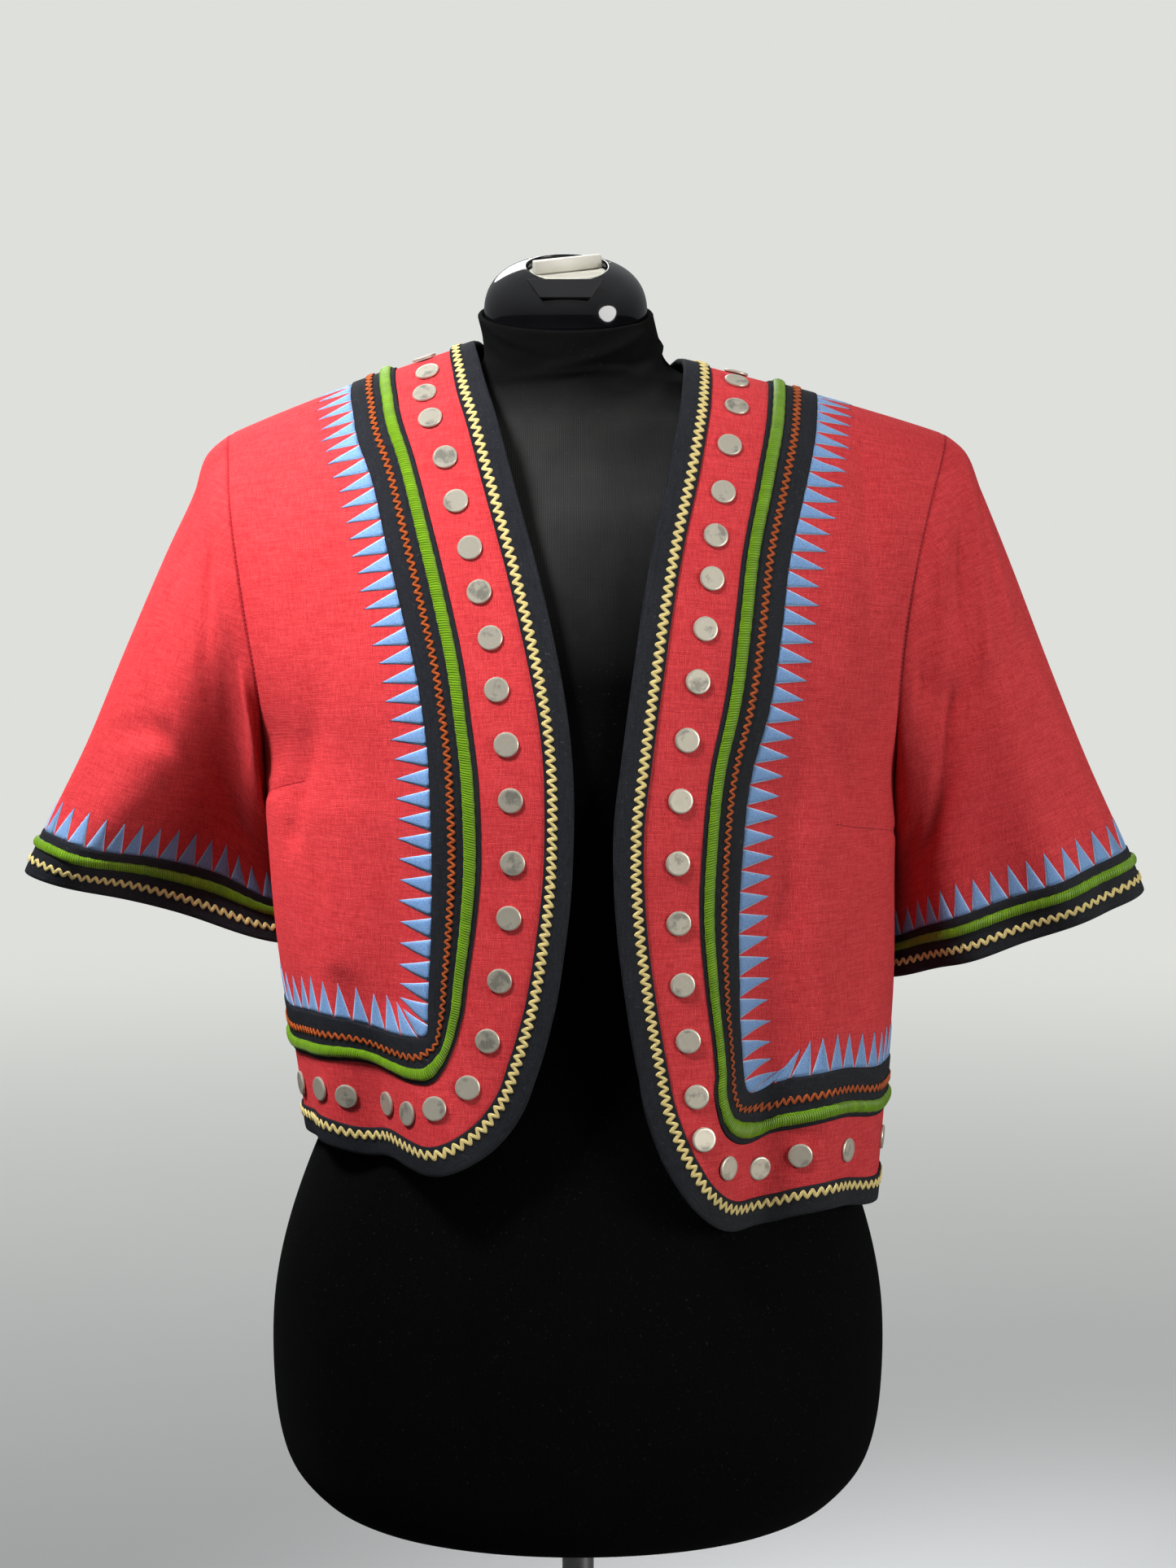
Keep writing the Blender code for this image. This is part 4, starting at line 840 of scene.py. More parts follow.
# %% Node helpers
class Nodes:
    """Short ways to add and join shader nodes in one tree."""

    def __init__(self, tree):
        self.tree = tree

    def feed(self, socket, value):
        """Join a socket to another node's output, or give it a plain value."""
        if isinstance(value, bpy.types.NodeSocket):
            self.tree.links.new(value, socket)
        elif socket.type == "RGBA":
            socket.default_value = (*value, 1.0)
        else:
            socket.default_value = value

    def add(self, kind, inputs=None, **settings):
        """A shader node with some of its inputs fed. Returns its outputs."""
        made = self.tree.nodes.new(f"ShaderNode{kind}")
        for name, value in settings.items():
            setattr(made, name, value)
        for name, value in (inputs or {}).items():
            self.feed(made.inputs[name], value)
        return made.outputs

    def group(self, tree, **inputs):
        """A node group placed in this tree."""
        return self.add("Group", inputs, node_tree=tree)

    def math(self, operation, *values):
        """One step of arithmetic."""
        return self.add("Math", dict(enumerate(values)), operation=operation)[0]

    def plus(self, first, second):
        """A sum."""
        return self.math("ADD", first, second)

    def times(self, first, second):
        """A product."""
        return self.math("MULTIPLY", first, second)

    def ridges(self, count):
        """Round ridges side by side, one for each whole number counted."""
        return self.math("ABSOLUTE", self.math("SINE", self.times(count, math.pi)))

    def remap(self, value, low, high, to_low=0.0, to_high=1.0):
        """Stretch a value to a new range, clamped."""
        names = ("Value", "From Min", "From Max", "To Min", "To Max")
        inputs = dict(zip(names, (value, low, high, to_low, to_high), strict=True))
        return self.add("MapRange", inputs)[0]

    def mix(self, share, first, second, blend="MIX"):
        """Two colours mixed."""
        inputs = {0: share, 6: first, 7: second}
        return self.add("Mix", inputs, data_type="RGBA", blend_type=blend)[2]

    def pick(self, share, first, second):
        """Two numbers mixed."""
        return self.add("Mix", {0: share, 2: first, 3: second})[0]

    def noise(self, vector, scale, detail=2.0, roughness=0.5):
        """Soft random patches, or streaks where scale has a number for each way."""
        if isinstance(scale, tuple):
            vector = self.add("Mapping", {"Vector": vector, "Scale": scale})[0]
            scale = 1.0
        inputs = {"Vector": vector, "Scale": scale, "Detail": detail, "Roughness": roughness}
        return self.add("TexNoise", inputs)[0]

    def bump(self, height, distance, strength=1.0):
        """A normal from a height."""
        inputs = {"Height": height, "Distance": distance, "Strength": strength}
        return self.add("Bump", inputs)[0]

    def flat(self, name="cut"):
        """The flat place on the cloth, or another UV map."""
        return self.add("UVMap", uv_map=name)[0]

    def place(self):
        """The place in the piece's own coordinates."""
        return self.add("TexCoord")["Object"]

    def parts(self, vector):
        """A vector's three numbers."""
        return self.add("SeparateXYZ", {"Vector": vector})

    def vector(self, **parts):
        """A vector from its numbers."""
        return self.add("CombineXYZ", parts)[0]


VECTOR, FLOAT = "NodeSocketVector", "NodeSocketFloat"


def new_group(name, inputs, outputs):
    """An empty node group. Returns its helper, what it is given and what it gives."""
    tree = bpy.data.node_groups.new(name, "ShaderNodeTree")
    for socket, kind in inputs.items():
        tree.interface.new_socket(name=socket, in_out="INPUT", socket_type=kind)
    for socket in outputs:
        tree.interface.new_socket(name=socket, in_out="OUTPUT", socket_type=FLOAT)
    given = tree.nodes.new("NodeGroupInput").outputs
    return Nodes(tree), given, tree.nodes.new("NodeGroupOutput").inputs


# %% [markdown]
# ## The weave
# In a plain weave each thread goes over one and under the next. The group counts threads both ways
# from the flat place on the cloth: where the two counts add to an even number the upright thread is
# on top, and otherwise the one that lies across. Each thread gets its own tone, which changes
# slowly along it, because linen yarn is spun unevenly. The slubs come from that.

# %% Weave group
nodes, given, out = new_group(
    "plain weave", {"Cloth": VECTOR, "Thread": FLOAT}, ("Height", "Tone")
)
place = nodes.parts(given["Cloth"])
across_count, upward_count = (nodes.math("DIVIDE", place[k], given["Thread"]) for k in (0, 1))
across_cell, upward_cell = (nodes.math("FLOOR", count) for count in (across_count, upward_count))
half = nodes.times(nodes.plus(across_cell, upward_cell), 0.5)
upright_on_top = nodes.math("GREATER_THAN", nodes.math("FRACT", half), 0.25)
across_round, upward_round = nodes.ridges(across_count), nodes.ridges(upward_count)
upright = nodes.times(across_round, nodes.math("MULTIPLY_ADD", upward_round, 0.6, 0.4))
lying = nodes.times(upward_round, nodes.math("MULTIPLY_ADD", across_round, 0.6, 0.4))
picked = nodes.pick(upright_on_top, lying, upright)
upright_spot = nodes.vector(X=nodes.times(across_cell, 3.731), Y=nodes.times(upward_count, 0.110))
lying_spot = nodes.vector(
    X=nodes.times(across_count, 0.070), Y=nodes.times(upward_cell, 3.173), Z=7.3
)
upright_tone, lying_tone = (nodes.noise(spot, 1.0, 1.0) for spot in (upright_spot, lying_spot))
tone = nodes.pick(upright_on_top, lying_tone, upright_tone)
nodes.feed(out["Height"], nodes.times(picked, nodes.plus(tone, 0.5)))
nodes.feed(out["Tone"], tone)
WEAVE = nodes.tree
print(WEAVE.name, len(WEAVE.nodes), "nodes")

# %% Patches group: broad uneven fading, and small specks
nodes, given, out = new_group(
    "uneven wear", {"Place": VECTOR, "Size": FLOAT}, ("Patches", "Specks")
)
scale = nodes.math("DIVIDE", 1.0, given["Size"])
patches = nodes.noise(given["Place"], scale, 4.0, 0.6)
specks = nodes.noise(given["Place"], nodes.times(scale, 30.0))
nodes.feed(out["Patches"], nodes.remap(patches, 0.3, 0.7))
nodes.feed(out["Specks"], nodes.remap(specks, 0.68, 0.74))
WEAR = nodes.tree

# %% Threads group: round threads lying side by side, each a little different
nodes, given, out = new_group(
    "laid threads", dict.fromkeys(("Run", "Side", "Thread", "Wander"), FLOAT), ("Height", "Tone")
)
spot = nodes.vector(X=given["Run"], Y=given["Side"])
sway = nodes.noise(spot, nodes.math("DIVIDE", 0.25, given["Thread"]), 1.0)
sway = nodes.times(nodes.math("SUBTRACT", sway, 0.5), given["Wander"])
count = nodes.plus(nodes.math("DIVIDE", given["Run"], given["Thread"]), sway)
own = nodes.add("TexWhiteNoise", {"W": nodes.math("FLOOR", count)}, noise_dimensions="1D")
nodes.feed(out["Height"], nodes.ridges(count))
nodes.feed(out["Tone"], own[0])
THREADS = nodes.tree


def threads(nodes, run, side, thread, wander):
    """Threads that follow each other along a run, each as wide as thread says."""
    return nodes.group(THREADS, Run=run, Side=side, Thread=thread, Wander=wander)


print("groups", [group.name for group in (WEAVE, WEAR, THREADS)])

# %% [markdown]
# ## Cloth finishes
# The linen is dyed red in the yarn. The hollows between its threads are painted deeper in colour
# and its raised threads paler, as painted shade. Sheen gives the faint bloom that loose fibres have
# against the light. The black cotton has a finer weave, the same painted shade and a little pale
# lint.


# %% Finish helper
class Finish(Nodes):
    """A material with its principled shader."""

    def __init__(self, name, roughness, sheen=0.0, sheen_colour=(1, 1, 1), **sockets):
        self.material = bpy.data.materials.new(name)
        self.material.use_nodes = True
        super().__init__(self.material.node_tree)
        self.give(Roughness=roughness, Sheen_Weight=sheen, Sheen_Roughness=0.5)
        self.give(Sheen_Tint=sheen_colour, **sockets)

    def give(self, **values):
        """Feed the shader's sockets, whose names have _ for a space here."""
        sockets = self.tree.nodes["Principled BSDF"].inputs
        for name, value in values.items():
            self.feed(sockets[name.replace("_", " ")], value)


# %% Linen and cotton
def cloth_finish(name, thread, deep, middle, pale, sheen, depth, lint=0.0):
    """Woven cloth in three tones of one colour."""
    made = Finish(name, 0.88, sheen, pale, Specular_IOR_Level=0.25)
    cut = made.flat()
    weave = made.group(WEAVE, Cloth=cut, Thread=thread)
    wear = made.group(WEAR, Place=made.place(), Size=0.06)
    yarns = made.mix(made.remap(weave["Tone"], 0.25, 0.75), deep, pale)
    grain = made.remap(made.noise(cut, 0.55 / thread, 2.0, 0.7), 0.25, 0.75, 0.84, 1.16)
    # Painted shade: the weave's low places are darker and its raised threads paler.
    painted_weave_shade = made.remap(weave["Height"], 0.0, 0.55, 0.62, 1.06)
    faded = made.remap(wear["Patches"], 0.0, 1.0, 0.94, 1.05)
    shade = made.times(made.times(painted_weave_shade, faded), grain)
    grey = made.add("CombineColor", dict.fromkeys(range(3), shade))[0]
    colour = made.mix(1.0, made.mix(0.55, middle, yarns), grey, "MULTIPLY")
    if lint:
        colour = made.mix(made.times(wear["Specks"], lint), colour, (0.30, 0.30, 0.32))
    made.give(Base_Color=colour, Normal=made.bump(weave["Height"], depth, 0.7))
    return made


REDS = ((0.40, 0.015, 0.019), (0.62, 0.036, 0.043), (0.82, 0.095, 0.098))
linen = cloth_finish("red_linen", 0.00075, *REDS, 0.15, 0.00018)
BLACKS = ((0.005, 0.0055, 0.007), (0.014, 0.015, 0.018), (0.036, 0.038, 0.044))
cotton = cloth_finish("black_cotton", 0.00042, *BLACKS, 0.04, 0.00008, lint=0.10)
print("cloth finishes", linen.material.name, cotton.material.name)

# %% Seam stitching
shaded_seam_red = nodes = Finish("shaded_seam_red", 0.9)
run = nodes.parts(nodes.flat())
stitch = threads(nodes, run[0], run[1], 0.0026, 0.1)["Height"]
# Painted shade: the thread is darker than the linen, partly for the groove's shade, and darker
# again between its stitches.
colour = nodes.mix(nodes.remap(stitch, 0.2, 0.8), (0.16, 0.006, 0.010), (0.40, 0.020, 0.030))
nodes.give(Base_Color=colour, Normal=nodes.bump(stitch, 0.0002))

# %% [markdown]
# ## Trims
# Ricrac is a flat braid whose strands run lengthwise and are pulled into waves. The green cord is
# covered by stitches laid across it, close together. The teeth are filled with slanting satin
# stitches inside a paler outline. All three are coloured darker in the grooves between their
# threads, as painted shade.


# %% Ricrac finish
def braid_finish(name, deep, pale, strands=4):
    """Braid with strands along it, darker between them as painted shade."""
    made = Finish(name, 0.62, 0.15, pale)
    run = made.parts(made.flat())
    strand = threads(made, run[1], run[0], 1.0 / strands, 0.12)
    ticks = threads(made, run[0], run[1], 0.0006, 0.8)
    height = made.plus(strand["Height"], made.times(ticks["Height"], 0.35))
    # Painted shade: darker where the strands and ticks are low; each tick also has its own tone.
    painted_shade_and_tone = made.times(made.remap(height, 0.1, 1.2), made.remap(ticks["Tone"], 0, 1, 0.75, 1.0))
    made.give(Base_Color=made.mix(painted_shade_and_tone, deep, pale), Normal=made.bump(height, 0.00025))
    return made


cream = braid_finish("cream_braid", (0.62, 0.42, 0.10), (1.0, 0.85, 0.37))
rust = braid_finish("rust_braid", (0.16, 0.022, 0.006), (0.66, 0.140, 0.030))

# %% Satin cord finish
satin = nodes = Finish("green_satin", 0.45, 0.2, (0.5, 0.8, 0.2))
cut = nodes.flat()
run = nodes.parts(cut)
slant = nodes.math("MULTIPLY_ADD", run[1], 0.25, run[0])
stitch = threads(nodes, slant, run[1], 0.0014, 0.8)
clump = nodes.remap(nodes.noise(cut, (160.0, 25.0, 1.0)), 0.3, 0.65, 0.68, 1.0)
# Painted shade: darker between the stitches; random clumps and each stitch's own tone vary it too.
share = nodes.times(nodes.remap(stitch["Height"], 0.0, 0.9, 0.35, 1.0), clump)
painted_shade_and_tone = nodes.times(share, nodes.remap(stitch["Tone"], 0, 1, 0.8, 1.0))
colour = nodes.mix(painted_shade_and_tone, (0.022, 0.062, 0.002), (0.190, 0.380, 0.007))
nodes.give(Base_Color=colour, Normal=nodes.bump(stitch["Height"], 0.0003))

# %% Embroidery finish
embroidery = nodes = Finish("blue_embroidery", 0.5, 0.2, (0.7, 0.85, 1.0))
cut = nodes.flat()
run = nodes.parts(cut)
across = nodes.parts(nodes.flat("tooth"))[0]
slant = nodes.math("MULTIPLY_ADD", run[1], 0.6, run[0])
fill = threads(nodes, slant, run[1], 0.00055, 1.5)["Height"]
breaks = nodes.remap(nodes.noise(cut, (900.0, 1500.0, 1.0), 1.0), 0.35, 0.6, 0.5, 1.0)
from_side = nodes.math("MINIMUM", across, nodes.math("SUBTRACT", 1.0, across))
outline = nodes.remap(from_side, 0.05, 0.10, 1.0, 0.0)
# Painted shade: the fill is darker between its stitches; the paler outline is the outline thread's
# own colour.
share = nodes.times(nodes.remap(fill, 0.0, 1.0, 0.35, 1.0), breaks)
filled = nodes.mix(share, (0.070, 0.170, 0.400), (0.290, 0.510, 0.860))
height = nodes.plus(fill, nodes.times(outline, 1.2))
colour = nodes.mix(outline, filled, (0.500, 0.690, 0.940))
nodes.give(Base_Color=colour, Normal=nodes.bump(height, 0.00018))
print("trim finishes", [trim.material.name for trim in (cream, rust, satin, embroidery)])

# %% [markdown]
# ## Metal studs
# The studs are pressed from nickel-plated sheet that has dulled. Thumbed patches are browner and
# rougher, and fine scratches run every way. Their rims are rubbed bright, which a mask stored on
# each stud's points gives.

# %% Nickel finish
nickel = nodes = Finish("aged_nickel", 0.3, Metallic=0.65)
spot = nodes.place()
patches = nodes.group(WEAR, Place=spot, Size=0.012)["Patches"]
rim = nodes.add("Attribute", attribute_name="rim")["Fac"]
scratches = nodes.math("MAXIMUM", *(
    nodes.remap(nodes.noise(spot, streak, 1.0), 0.66, 0.74)
    for streak in ((2600.0, 2600.0, 160.0), (180.0, 2600.0, 2600.0))
))
dulled = nodes.mix(nodes.remap(patches, 0.55, 0.80), (0.66, 0.61, 0.49), (0.36, 0.34, 0.28))
colour = nodes.mix(nodes.times(scratches, 0.4), dulled, (0.82, 0.78, 0.66))
rough = nodes.remap(patches, 0.0, 1.0, 0.46, 0.60)
nodes.give(
    Base_Color=nodes.mix(nodes.times(rim, 0.5), colour, (0.80, 0.75, 0.62)),
    Roughness=nodes.times(rough, nodes.remap(rim, 0.0, 1.0, 1.0, 0.7)),
    Normal=nodes.bump(nodes.plus(scratches, patches), 0.00003),
)

# %% [markdown]
# ## The dress form's finishes
# The cover is a fine black jersey, so it has narrow upright ribs and almost no shine. Its chest,
# and faintly its neck, are painted paler as painted light from above. The neck cap is polished
# black plastic with hairline scratches. The dial is ivory plastic, and the stand is brushed steel
# with black powder-coated fittings.

# %% Knit finish
knit = nodes = Finish("black_knit", 0.95, 0.01, (0.7, 0.7, 0.68), Specular_IOR_Level=0.04)
run = nodes.parts(nodes.flat())
ribs = threads(nodes, run[0], run[1], 0.0009, 0.15)
loops = threads(nodes, run[1], run[0], 0.0007, 0.15)
spot = nodes.place()
wear = nodes.group(WEAR, Place=spot, Size=0.05)
patchy = nodes.remap(wear["Patches"], 0.0, 1.0, 0.7, 1.0)
height = nodes.plus(ribs["Height"], nodes.times(loops["Height"], 0.4))
# Painted shade: the knit is darker in the grooves between its ribs and loops.
share = nodes.times(nodes.remap(height, 0.2, 1.3), patchy)
dark = nodes.mix(share, (0.0012, 0.0012, 0.0013), (0.0034, 0.0035, 0.0037))
# Painted light: a paler colour on the chest, where it faces up into the light from above.
painted_chest_light = nodes.mix(share, (0.016, 0.016, 0.0155), (0.042, 0.042, 0.040))
level = nodes.parts(spot)[2]
# The painted light rises up the chest and fades to a small share up the neck.
below_neck = nodes.remap(level, 1.002, 0.975, 0.15, 1.0)
lit_chest_mask = nodes.times(nodes.remap(level, 0.83, 0.93), below_neck)
colour = nodes.mix(nodes.times(lit_chest_mask, patchy), dark, painted_chest_light)
colour = nodes.mix(nodes.times(wear["Specks"], 0.12), colour, (0.1, 0.1, 0.1))
nodes.give(Base_Color=colour, Normal=nodes.bump(height, 0.00015))


# %% Moulded, painted and brushed finishes
def moulded_finish(name, colour, worn, roughness, grain, **sockets):
    """Plastic, paint or metal with a fine grain and rubbed patches."""
    made = Finish(name, roughness, **sockets)
    spot = made.place()
    patches = made.group(WEAR, Place=spot, Size=0.03)["Patches"]
    hairlines = made.remap(made.noise(spot, (1500.0, 90.0, 900.0)), 0.62, 0.72)
    pits = made.noise(spot, 2400.0)
    rough = made.remap(patches, 0.0, 1.0, roughness * 0.85, roughness * 1.2)
    made.give(
        Base_Color=made.mix(made.times(patches, 0.5), colour, worn),
        Roughness=made.math("MULTIPLY_ADD", hairlines, 0.12, rough),
        Normal=made.bump(made.plus(pits, made.times(hairlines, -0.3)), grain),
    )
    return made


BLACK_GLOSS = ((0.004, 0.004, 0.005), (0.007, 0.007, 0.008))
BLACK_MATTE = ((0.012, 0.012, 0.013), (0.022, 0.022, 0.023))
BLACK_PAINT = ((0.012, 0.013, 0.015), (0.028, 0.028, 0.030))
IVORY = ((0.62, 0.60, 0.52), (0.50, 0.47, 0.38))
STEEL = ((0.46, 0.46, 0.47), (0.38, 0.38, 0.39))
PALE = ((0.55, 0.54, 0.50), (0.45, 0.44, 0.40))
gloss = moulded_finish("gloss_black", *BLACK_GLOSS, 0.07, 0.000002, Coat_Weight=0.5)
matte = moulded_finish("matte_black", *BLACK_MATTE, 0.55, 0.00002)
ivory = moulded_finish("ivory_plastic", *IVORY, 0.34, 0.00001)
steel = moulded_finish("brushed_steel", *STEEL, 0.28, 0.00001, Metallic=1.0)
enamel = moulded_finish("powder_black", *BLACK_PAINT, 0.42, 0.00006)
pale_mark = moulded_finish("pale_mark", *PALE, 0.5, 0.00001)
print("finishes", len(bpy.data.materials))

# %% [markdown]
# ## Fronts and back
# A front is one piece of linen from the shoulder seam down to the hem, with a round lower corner.
# It is made as a strip that follows the edge, and a patch that fills the rest out to the side seam
# and the armhole. The patch is a Coons patch: each inside point is the sum of what its four sides
# give, so the grid runs in with no extra lines.


# %% Panel grids
UPPER_CELLS, CORNER_CELLS, HEM_CELLS = 150, 44, 60
INWARD_CELLS = 26
TRIM_END = INNER_BAND[1]
INWARD = np.linspace(0.0, TRIM_END, INWARD_CELLS + 1)[None, :]


def shares_between(*stops):
    """Shares along a strip: each stop is where a run starts, and how many cells it has."""
    runs = [np.linspace(a[0], b[0], a[1] + 1)[:-1] for a, b in zip(stops, stops[1:], strict=False)]
    return np.concatenate([*runs, [stops[-1][0]]])


FRONT_SHARES = shares_between(
    (0.0, UPPER_CELLS), (UPPER_SHARE, CORNER_CELLS), (CORNER_SHARE, HEM_CELLS), (1.0, 0)
)


def coons(bottom, top, left, right):
    """A four-sided patch between its sides, given as flat points."""
    rows, columns = len(left), len(bottom)
    t = np.linspace(0, 1, rows)[:, None, None]
    s = np.linspace(0, 1, columns)[None, :, None]
    blend = (1 - t) * bottom[None] + t * top[None] + (1 - s) * left[:, None] + s * right[:, None]
    corners = (1 - s) * (1 - t) * bottom[0] + s * (1 - t) * bottom[-1]
    return blend - corners - (1 - s) * t * top[0] - s * t * top[-1]


def side_line(draft, cells, start=TRIM_END):
    """Flat places up the side seam and the armhole."""
    armpit, high = draft.armpit, draft.top - SEAM / 2
    below = round(cells * (armpit - start) / (high - start))
    ups = shares_between((start, below), (armpit, cells - below), (high, 0))
    pull = np.where(ups < armpit + 1e-6, SEAM / 2, 0.0)
    return np.stack([draft.reach(ups) - pull, ups], axis=1)


def flat_area(grid):
    """Area of a grid of flat places."""
    a, b = grid[1:, 1:] - grid[:-1, :-1], grid[1:, :-1] - grid[:-1, 1:]
    return float(np.sum(np.abs(a[..., 0] * b[..., 1] - a[..., 1] * b[..., 0])) / 2)


def declare_cloth(piece, flats):
    """State a piece of cloth's cut: the box round its flat grids, and its area."""
    corners = np.concatenate([flat.reshape(-1, 2) for flat in flats])
    width, length = (float(size) for size in corners.max(axis=0) - corners.min(axis=0))
    area = sum(flat_area(flat) for flat in flats)
    print(piece.name, "cut", round(width, 3), "x", round(length, 3), "m, area", round(area, 4))


# %% Fronts
def make_front(side):
    """A front panel of linen."""
    draft = fronts[side]
    strip = right_strip if side == RIGHT else left_strip
    edge = strip.flat(FRONT_SHARES[:, None], INWARD)
    half = UPPER_CELLS + CORNER_CELLS // 2
    left, bottom = edge[half::-1, -1], edge[half:, -1]
    right = side_line(draft, half)
    across = np.linspace(left[-1][0], right[-1][0], len(bottom))
    top = np.stack([across, np.full(len(bottom), draft.top - SEAM / 2)], axis=1)
    flats = [edge, coons(bottom, top, left, right)]
    grids = [(*draft.lay_flat(flat), flat) for flat in flats]
    declare_cloth(cloth_piece(strip.name, grids, linen), flats)


for side in (RIGHT, LEFT):
    make_front(side)

# %% [markdown]
# ## Back
# The back is one piece with a scooped neck. Its strips follow the hem and the neck, and its patch
# runs between the side seams and the armholes.


# %% Back panel
NECK_CELLS, YOKE_CELLS, BACK_SIDE_CELLS = 72, 40, 150


def make_back():
    """The back panel of linen."""
    high = backs[RIGHT].top - SEAM / 2
    cells = NECK_CELLS + 2 * YOKE_CELLS
    hem = hem_strip.flat(np.linspace(0, 1, cells + 1)[:, None], INWARD)
    neck = neck_strip.flat(np.linspace(0, 1, NECK_CELLS + 1)[:, None], INWARD)
    sides = {}
    shoulders = {}
    for side, corner in ((RIGHT, neck[0, -1]), (LEFT, neck[-1, -1])):
        start = float(other_up(fronts[side], backs[side], TRIM_END))
        sides[side] = side_line(backs[side], BACK_SIDE_CELLS, start) * (side, 1)
        across = np.linspace(sides[side][-1][0], corner[0], YOKE_CELLS + 1)
        shoulders[side] = np.stack([across, np.full(YOKE_CELLS + 1, high)], axis=1)
    top = np.concatenate([shoulders[RIGHT][:-1], neck[:, -1], shoulders[LEFT][::-1][1:]])
    flats = [hem, neck, coons(hem[:, -1], top, sides[RIGHT], sides[LEFT])]
    grids = [(*lay_back(flat, 0.0), flat) for flat in flats]
    declare_cloth(cloth_piece("back_panel", grids, linen), flats)


make_back()

# %% [markdown]
# ## Sleeves
# Each sleeve is a wide tube that hangs from the armhole and stands away from the form. A grid is
# wrapped round it once and merged along the underarm.

# %% Sleeve panels
SLEEVE_ROUND, SLEEVE_DOWN = 190, 96


def make_sleeve(side):
    """A sleeve of linen."""
    sleeve = sleeves[side]
    along = np.linspace(0.0, 1.0, SLEEVE_ROUND + 1)[None, :]
    down = np.linspace(0.0, 1.0, SLEEVE_DOWN + 1)[:, None]
    flat = pairs(along * sleeve.girth_at(down), (1.0 - down) * sleeve.length_at(along))
    grids = [(*sleeve.lay(along, down, 0.0), flat)]
    declare_cloth(cloth_piece(sleeve.name, grids, linen), [flat])


for side in (RIGHT, LEFT):
    make_sleeve(side)

# %% [markdown]
# ## Black bands
# The edge band is bias cotton folded over the raw edge, so it shows on both faces and turns round
# the edge in a soft bend. The inner band is a flat strip with its edges turned under. Both are cut
# from the same strip function, as rings of points with a distance in, a lift off the cloth and a
# reach beyond the edge.

# %% Band profiles
# inward, lift, beyond the edge
BAND_FOLD = (           # round the edge and back along the inside
    (0.0000, 0.0011, 0.0008),
    (0.0000, 0.0004, 0.0014),
    (0.0000, -0.0008, 0.0016),
    (0.0000, -0.0019, 0.0012),
    (0.0000, -0.0026, 0.0004),
    (0.0020, -0.0029, 0.0000),
    (0.0070, -0.0028, 0.0000),
    (0.0125, -0.0028, 0.0000),
)
EDGE_PROFILE = (
    (0.0155, 0.0004, 0.0000),
    (0.0152, 0.0012, 0.0000),
    (0.0140, 0.0014, 0.0000),
    (0.0105, 0.0013, 0.0000),
    (0.0070, 0.0013, 0.0000),
    (0.0035, 0.0013, 0.0000),
    (0.0010, 0.0013, 0.0000),
    *BAND_FOLD,
)
INNER_LIFTS = (         # share of the width, lift
    (0.00, 0.0003), (0.02, 0.0011), (0.06, 0.0013), (0.94, 0.0013), (0.98, 0.0011), (1.00, 0.0003),
)
SLEEVE_PROFILE = (
    (0.0300, 0.0004, 0.0000),
    (0.0297, 0.0012, 0.0000),
    *((0.0280 - 0.0034 * step, 0.0013, 0.0000) for step in range(9)),
    *BAND_FOLD,
)


def inner_profile():
    """The flat band's profile, with rows between its turned edges."""
    shares = [0.0, 0.02, 0.06, *np.linspace(0.06, 0.94, 10)[1:-1], 0.94, 0.98, 1.0]
    lifts = np.interp(shares, column(INNER_LIFTS, 0), column(INNER_LIFTS, 1))
    low, high = INNER_BAND
    rows = zip(shares, lifts, strict=True)
    return [(high - (high - low) * share, lift, 0.0) for share, lift in rows]


EDGE_PROBE = 0.002      # how far in the cloth is felt, to tell which way its edge faces


def ribbon(strip, shares, profile):
    """Rings of a band along a strip: points, normals and flat places."""
    inward, lift, beyond = (np.array(column(profile, k))[None, :] for k in range(3))
    along = shares[:, None]
    places, normals = strip.lay(along, inward, lift)
    edge = strip.lay(shares, 0.0, 0.0)[0]
    inside = strip.lay(shares, EDGE_PROBE, 0.0)[0]
    places = places + unit(edge - inside)[:, None] * beyond[..., None]
    steps = np.hypot(np.diff(inward[0]), np.diff(lift[0]) + np.diff(beyond[0]))
    width = np.concatenate([[0.0], np.cumsum(steps)])
    run = np.interp(shares, *strip.lengths(float(inward.max() + inward.min()) / 2))
    return places, normals, pairs(run[:, None], width[None, :])


def strip_shares(strip):
    """Even shares that suit each strip."""
    if strip in (right_strip, left_strip):
        return FRONT_SHARES
    cells = {hem_strip: 180, neck_strip: 90}.get(strip, SLEEVE_ROUND)
    return np.linspace(0.0, 1.0, cells + 1)


def band_piece(strip, kind, profile):
    """A black band along a strip."""
    grid = ribbon(strip, strip_shares(strip), profile)
    piece = cloth_piece(f"{strip.name}_{kind}", [grid], cotton, BAND_WALL)
    declare_cloth(piece, [grid[2]])


# %% Bands on the body and the sleeves
for strip in BODY_STRIPS:
    band_piece(strip, "edge_band", EDGE_PROFILE)
    band_piece(strip, "inner_band", inner_profile())
for strip in sleeve_strips.values():
    band_piece(strip, "band", SLEEVE_PROFILE)

# %% [markdown]
# ## Ricrac
# Ricrac's two edges are the same row of round scallops, half a wave apart, so every crest on one
# side faces a sharp notch on the other. The braid between them keeps an even width as it swings.


# %% Ricrac pieces
BRAID_ROWS = 6
WAVE_STEPS = 10
BRAID_LIFT = 0.0016
BRAID_CROWN = 0.0007
BRAID_WALL = 0.0005
WAVED_LENGTH = 1.25     # length of the braid for each metre that it covers


